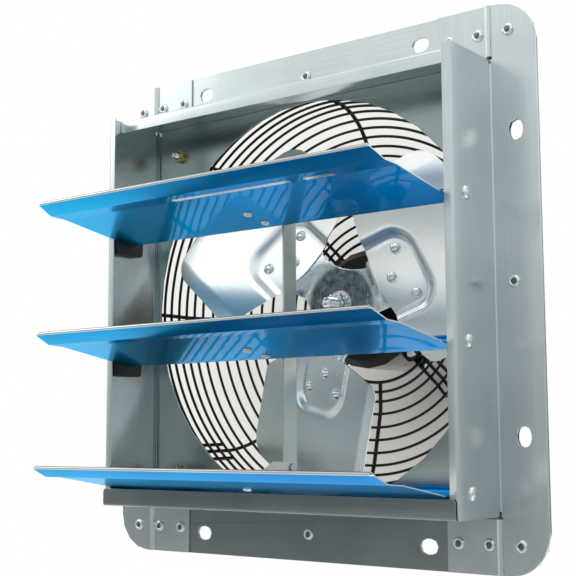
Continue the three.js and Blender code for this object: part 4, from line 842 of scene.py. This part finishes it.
RING_SHARES = (0, 0.06, 0.108, 0.163, 0.218, 0.274, 0.326, 0.382, 0.436, 0.487,
               0.538, 0.588, 0.65, 0.714, 0.777, 0.844, 0.906, 0.953, 1)
RING_WIRE, INNER_WIRE, SPOKE_WIRE, ARM_WIRE = 1.2, 1.4, 1.7, 1.55
WELD_DEPTH = 0.5
SPOKE_ANGLES = (0, 90, 180, 270)
SPOKE_END_R, LADDER_END_R = 59.6, 50.6
LADDER_SHARE, LADDER_HALF = 0.777, 7


def over_wire(angle, radius, start, inner, beside=0.0):
    """A wire welded over the rings, from a share of the section to an inner radius."""
    line = over_profile(RING_WIRE + radius - WELD_DEPTH, start)
    if start == 0:
        line[0].y = PANEL_BACK_Y + 0.3
    line.append(Vector((inner, line[-1].y)))
    return ring_of(about_y(line, angle, beside), radius, 10, False)


def guard_loop(angle, foot_r):
    """The wire round a guard bolt: two legs over the outer rings and the bend that joins them on the panel."""
    foot_y, half, bend_r = PANEL_BACK_Y + 2.1, 8.0, 9.0
    reach = RING_WIRE + ARM_WIRE + 0.2
    over = [p for p in over_profile(reach)[:18] if p.y > foot_y + bend_r][::-1]
    wall = over[-1].x
    line = over + [Vector(p) for p in disc_arc(bend_r, 180, 270, 10, (wall + bend_r, foot_y + bend_r))]
    line.append(Vector((foot_r, foot_y)))
    bend = []
    for k in range(1, 16):
        t = math.radians(90 - 180 * k / 16)
        bend += about_y([Vector((foot_r + half * math.cos(t), foot_y))], angle, half * math.sin(t))
    return ring_of(about_y(line, angle, half) + bend + about_y(line, angle, -half)[::-1], ARM_WIRE, 12, False)


guard = []
for share in RING_SHARES:
    place, _ = along_profile(share)
    circle = [(place.x * math.cos(2 * math.pi * k / 144), place.y, place.x * math.sin(2 * math.pi * k / 144))
              for k in range(144)]
    guard.append(ring_of(circle, INNER_WIRE if share == 1 else RING_WIRE, 8, True))
for angle in SPOKE_ANGLES:
    guard.append(over_wire(angle, SPOKE_WIRE, 0, SPOKE_END_R))
for name, (x, z) in BOLTS.items():
    angle = math.degrees(math.atan2(z, x))
    guard.append(over_wire(angle, ARM_WIRE, 0, SPOKE_END_R))
    guard += [over_wire(angle, ARM_WIRE, LADDER_SHARE, LADDER_END_R, beside)
              for beside in (-LADDER_HALF, LADDER_HALF)]
    piece(f"arm_{name}", [guard_loop(angle, math.hypot(x, z))], "fan_frame", ["black"],
          [f"guard_arm_{name}"])
piece("guard_basket", guard, "fan_frame", ["black"], ["wire_guard"])

BOLT_HEAD = [(0, 0), (11, 0), (11, 1.3), (10.7, 1.5), (5.6, 1.5), (5.6, 5.0), (5.1, 5.5), (0, 5.5)]
BOLT_SHANK = [(0, 0), (2.4, 0), (2.4, 6), (0, 6)]
for name, (x, z) in BOLTS.items():
    stud = moved(thread(2.5, 0, 12.5, 0.9), at(x, 4.6, z) @ TO_FRONT)
    head = moved(lathe(BOLT_HEAD, 40), at(x, 7.5, z) @ TO_BACK)
    shank = moved(lathe(BOLT_SHANK, 16), at(x, 4, z) @ TO_BACK)
    piece(f"bolt_{name}", [stud, head, shank], "fan_frame", ["bright"], [f"guard_bolt_{name}"])
    piece(f"nut_{name}", [moved(nut(5.8, 5), at(x, 2.3, z) @ TO_FRONT)], "fan_frame", ["brass"],
          [f"guard_nut_{name}"])


# The sheets of the flange lie on each other: strips close the play that the solids keep between them

def ribbon(outer, inner, low, high):
    """A strip between two lines of (x, z) points, from one y to another."""
    points, faces = [], []
    for (x0, z0), (x1, z1) in zip(outer, inner):
        points += [(x0, low, z0), (x0, high, z0), (x1, high, z1), (x1, low, z1)]
    for i in range(0, len(points) - 4, 4):
        for k in range(4):
            m = (k + 1) % 4
            faces.append([i + k, i + m, i + 4 + m, i + 4 + k])
    return points, [*faces, [3, 2, 1, 0], [len(points) - 4 + k for k in range(4)]]


PACKING_END_X = 164.5
PACKING_INSETS, PACKING_YS = (0.15, 1.1), (0.98, 2.62)
WALL_PACKING_XS, WALL_PACKING_YS = (165.2, 163.9), (0.95, 2.25)


def flange_edge(inset, sx):
    """The flange's outline on one side, from the packing's lower end round both corners to its upper end."""
    r = FLANGE_CORNER_R - inset
    corner = HALF_FLANGE - FLANGE_CORNER_R
    line = [*disc_arc(r, -90, 0, 24, (corner, -corner)), *disc_arc(r, 0, 90, 24, (corner, corner))]
    line = [(PACKING_END_X, inset - HALF_FLANGE), *line, (PACKING_END_X, HALF_FLANGE - inset)]
    return [(sx * x, z) for x, z in line]


for sx, side in ((-1, "left"), (1, "right")):
    edge = [flange_edge(inset, sx) for inset in PACKING_INSETS]
    wall = [[(sx * x, z) for z in (-160, -80, 0, 80, 160)] for x in WALL_PACKING_XS]
    piece(f"flange_packing_{side}", [ribbon(*edge, *PACKING_YS), ribbon(*wall, *WALL_PACKING_YS)],
          "fan_frame", ["side"])


# Blind rivets of the flange: a rolled ring round the sunk end of the broken mandrel, whose dark tone is partly
# painted shade for the rivet's hollow

RIVET_RING = [(0, 0), (4.5, 0), (4.4, 0.7), (4.0, 1.45), (3.4, 1.95), (2.8, 2.0), (2.4, 1.8), (2.15, 1.5), (0, 1.5)]
MANDREL = [(0, 1.4), (2.2, 1.4), (2.2, 1.53), (1.3, 1.56), (1.1, 1.85), (0.6, 2.0), (0, 2.0)]
PIN_HEAD = [(0, 0), (4.9, 0), (4.7, 0.8), (3.8, 1.5), (2.4, 1.75), (1.2, 1.6), (0.9, 1.2), (0, 1.1)]
SIGNS = (-1, 1)
CORNER_XS = [RIVET_LINE - i * RIVET_PITCH for i in range(3)]
RIVET_PLACES = [(sx * x, sz * RIVET_LINE, 0.0) for sx in SIGNS for sz in SIGNS for x in CORNER_XS]
RIVET_PLACES += [(sx * RIVET_LINE, 0, 0.0) for sx in SIGNS]
RIVET_PLACES += [(0, sz * RIVET_LINE, CROSS_SHEET_Y) for sz in SIGNS]
for name, profile, look in (("flange_rivets", RIVET_RING, "bright"), ("rivet_mandrels", MANDREL, "dark")):
    piece(name, [moved(lathe(profile, 32), at(x, y, z) @ TO_FRONT) for x, z, y in RIVET_PLACES],
          "fan_frame", [look])
pin_heads = [moved(lathe(PIN_HEAD, 28), at(sx * PIN_HEAD_X, PIVOT_Y, z) @ turn(90 * sx, "Y"))
             for sx in SIGNS for z in PIVOT_Z.values()]
piece("pivot_pin_heads", pin_heads, "fan_frame", ["bright"])


# Stage: floor, world, lights and camera

def seen_or_not(tree, seen, other):
    """The first shader where the camera, metal or glass sees it, the second where it only lights."""
    path = add(tree, "ShaderNodeLightPath")
    share = path.outputs["Is Camera Ray"]
    for kind in ("Is Glossy Ray", "Is Transmission Ray"):
        either = add(tree, "ShaderNodeMath", operation="MAXIMUM")
        tree.links.new(share, either.inputs[0])
        tree.links.new(path.outputs[kind], either.inputs[1])
        share = either.outputs[0]
    mix = add(tree, "ShaderNodeMixShader")
    tree.links.new(share, mix.inputs["Fac"])
    tree.links.new(other, mix.inputs[1])
    tree.links.new(seen, mix.inputs[2])
    return mix.outputs["Shader"]


def ramped_axis(tree, value, low, high, *stops):
    """Greys along an axis, from (position, value) pairs."""
    greys = [(position, (value, value * 1.01, value * 1.01)) for position, value in stops]
    return ramp(tree, map_range(tree, value, low, high), *greys)


def toward(tree, azimuth, elevation):
    """The cosine of the angle between a ray and a direction: azimuth from the front, positive to the right."""
    a, e = math.radians(azimuth), math.radians(elevation)
    coords = add(tree, "ShaderNodeTexCoord")
    dot = add(tree, "ShaderNodeVectorMath", operation="DOT_PRODUCT")
    dot.inputs[1].default_value = (math.sin(a) * math.cos(e), -math.cos(a) * math.cos(e), math.sin(e))
    tree.links.new(coords.outputs["Generated"], dot.inputs[0])
    return dot.outputs["Value"]


def near(tree, azimuth, elevation, full, none):
    """1 within an angle of a direction, falling smoothly to 0 at a wider one."""
    return map_range(tree, toward(tree, azimuth, elevation), math.cos(math.radians(none)),
                     math.cos(math.radians(full)), True)


def staged(name, points, faces, material):
    mesh = bpy.data.meshes.new(name)
    mesh.from_pydata(points, [], faces)
    mesh.materials.append(material)
    obj = bpy.data.objects.new(name, mesh)
    bpy.context.scene.collection.objects.link(obj)


# A clear disc in the orifice: by it the world tells where the backdrop is seen through the fan
PANE_R = 166
pane_mat, tree, _ = nodes_of("clear_pane")
clear = add(tree, "ShaderNodeBsdfTransparent")
tree.links.new(clear.outputs[0], tree.nodes["Material Output"].inputs["Surface"])
points, faces = moved(lathe([(0, 0), (PANE_R, 0)], 96), at(0, PANEL_BACK_Y + 0.4, 0) @ TO_FRONT)
staged("clear_pane", [tuple(p * MM) for p in points], faces, pane_mat)

FLOOR_HALF, FLOOR_Z = 2, -0.5
FLOOR_GLOW = ((0.0, 0.0), (0.4, 0.05), (0.5, 0.5), (0.62, 0.7), (0.8, 0.7))
floor_mat, tree, shader = nodes_of("pale_floor")
shader.inputs["Roughness"].default_value = 0.9
tree.links.new(ramp(tree, noise(tree, (1, 1, 1), 3, 2), (0.3, (0.42, 0.43, 0.43)), (0.7, (0.45, 0.46, 0.46))),
               shader.inputs["Base Color"])
glow = add(tree, "ShaderNodeEmission", in_Strength=1.0)
tree.links.new(ramped_axis(tree, axes_of(tree)["Y"], -1.5, 1.5, *FLOOR_GLOW), glow.inputs["Color"])
lit = add(tree, "ShaderNodeAddShader")
tree.links.new(glow.outputs[0], lit.inputs[0])
tree.links.new(shader.outputs[0], lit.inputs[1])
tree.links.new(seen_or_not(tree, lit.outputs[0], shader.outputs[0]), tree.nodes["Material Output"].inputs["Surface"])
floor_corners = [(x * FLOOR_HALF, y * FLOOR_HALF, FLOOR_Z) for x, y in ((-1, -1), (1, -1), (1, 1), (-1, 1))]
staged("floor", floor_corners, [(0, 1, 2, 3)], floor_mat)

# The room that the metal mirrors: greys by height, and parts with a tone of their own, each given by azimuth,
# elevation, the angles where it is full and where it has faded out, and colour
SKY = ((0.0, 0.45), (0.36, 0.36), (0.5, 0.53), (0.585, 0.6), (0.655, 0.72), (0.7, 0.83), (0.77, 0.84),
       (0.85, 0.88), (1.0, 1.0))
SKY_PARTS = (
    (-38, -4, 8.5, 12.5, (0.16, 0.165, 0.16, 1)),
    (-68, 5, 8, 20, (0.85, 0.85, 0.84, 1)),
    (-142, 3, 26, 44, (1, 1, 1, 1)),
    (151, 24, 10, 17, (1, 1, 1, 1)),
)
# The shade behind the guard: its middle, its reach in radians, and its tones from the middle out
SHADED = (-149.29, 2.63)
SHADE_REACH = 0.25
SHADE = ((0.0, 0.2), (0.2, 0.42), (0.33, 0.53), (0.56, 0.72), (0.8, 0.86), (1.0, 0.91))

world = bpy.data.worlds.new("studio")
bpy.context.scene.world = world
world.use_nodes = True
tree = world.node_tree
around = tree.nodes["Background"]
axes = axes_of(tree, "Generated")
sky = ramped_axis(tree, axes["Z"], -0.5, 0.5, *SKY)
for azimuth, elevation, full, none, color in SKY_PARTS:
    sky = mixed(tree, near(tree, azimuth, elevation, full, none), sky, color)
apart = add(tree, "ShaderNodeMath", operation="ARCCOSINE")
tree.links.new(toward(tree, *SHADED), apart.inputs[0])
shade = ramp(tree, map_range(tree, apart.outputs[0], 0, SHADE_REACH),
             *[(position, (value, value, value * 0.95)) for position, value in SHADE])
through = add(tree, "ShaderNodeMath", operation="MINIMUM")
tree.links.new(add(tree, "ShaderNodeLightPath").outputs["Transparent Depth"], through.inputs[0])
through.inputs[1].default_value = 1.0
onward = add(tree, "ShaderNodeMath", operation="MULTIPLY")
tree.links.new(through.outputs[0], onward.inputs[0])
tree.links.new(map_range(tree, axes["Y"], 0.0, 0.1), onward.inputs[1])
sky = mixed(tree, onward.outputs[0], sky, shade)
tree.links.new(sky, around.inputs["Color"])
around.inputs["Strength"].default_value = 1.0
soft = add(tree, "ShaderNodeBackground", in_Color=(0.95, 0.97, 0.98, 1), in_Strength=1.0)
tree.links.new(seen_or_not(tree, around.outputs[0], soft.outputs[0]), tree.nodes["World Output"].inputs["Surface"])


def area_light(name, place, size, power):
    """A round lamp that faces the middle of the fan."""
    data = bpy.data.lights.new(name, "AREA")
    data.shape = "DISK"
    data.size = size
    data.energy = power
    lamp = bpy.data.objects.new(name, data)
    lamp.location = place
    lamp.rotation_euler = (-Vector(place)).to_track_quat("-Z", "Y").to_euler()
    bpy.context.scene.collection.objects.link(lamp)


area_light("key", (-0.44, -1.36, 1.65), 0.9, 4)
area_light("left", (-1.685, -1.105, 0.872), 0.7, 2.5)
area_light("top", (0.6, 0.3, 2.0), 1.2, 6)

# The camera, as fitted to the photograph
AZIMUTH, ELEVATION, ROLL = math.radians(37.878), math.radians(-7.046), math.radians(-0.21)
DISTANCE = 0.950359
back = Vector((math.sin(AZIMUTH) * math.cos(ELEVATION), -math.cos(AZIMUTH) * math.cos(ELEVATION),
               math.sin(ELEVATION)))
target = Vector((-18.289, 0, 10.795)) * MM
right = (-back).cross(Vector((0, 0, 1))).normalized()
up = right.cross(-back)
side = right * math.cos(ROLL) + up * math.sin(ROLL)
upright = -right * math.sin(ROLL) + up * math.cos(ROLL)
camera = bpy.data.objects.new("camera", bpy.data.cameras.new("camera"))
camera.data.sensor_width = 36
camera.data.lens = 75.18
camera.data.clip_start, camera.data.clip_end = 0.01, 50
camera.matrix_world = Matrix.Translation(target + back * DISTANCE) @ Matrix(
    (side, upright, back)).transposed().to_4x4()
bpy.context.scene.collection.objects.link(camera)
bpy.context.scene.camera = camera
bpy.context.scene.view_settings.view_transform = "Standard"
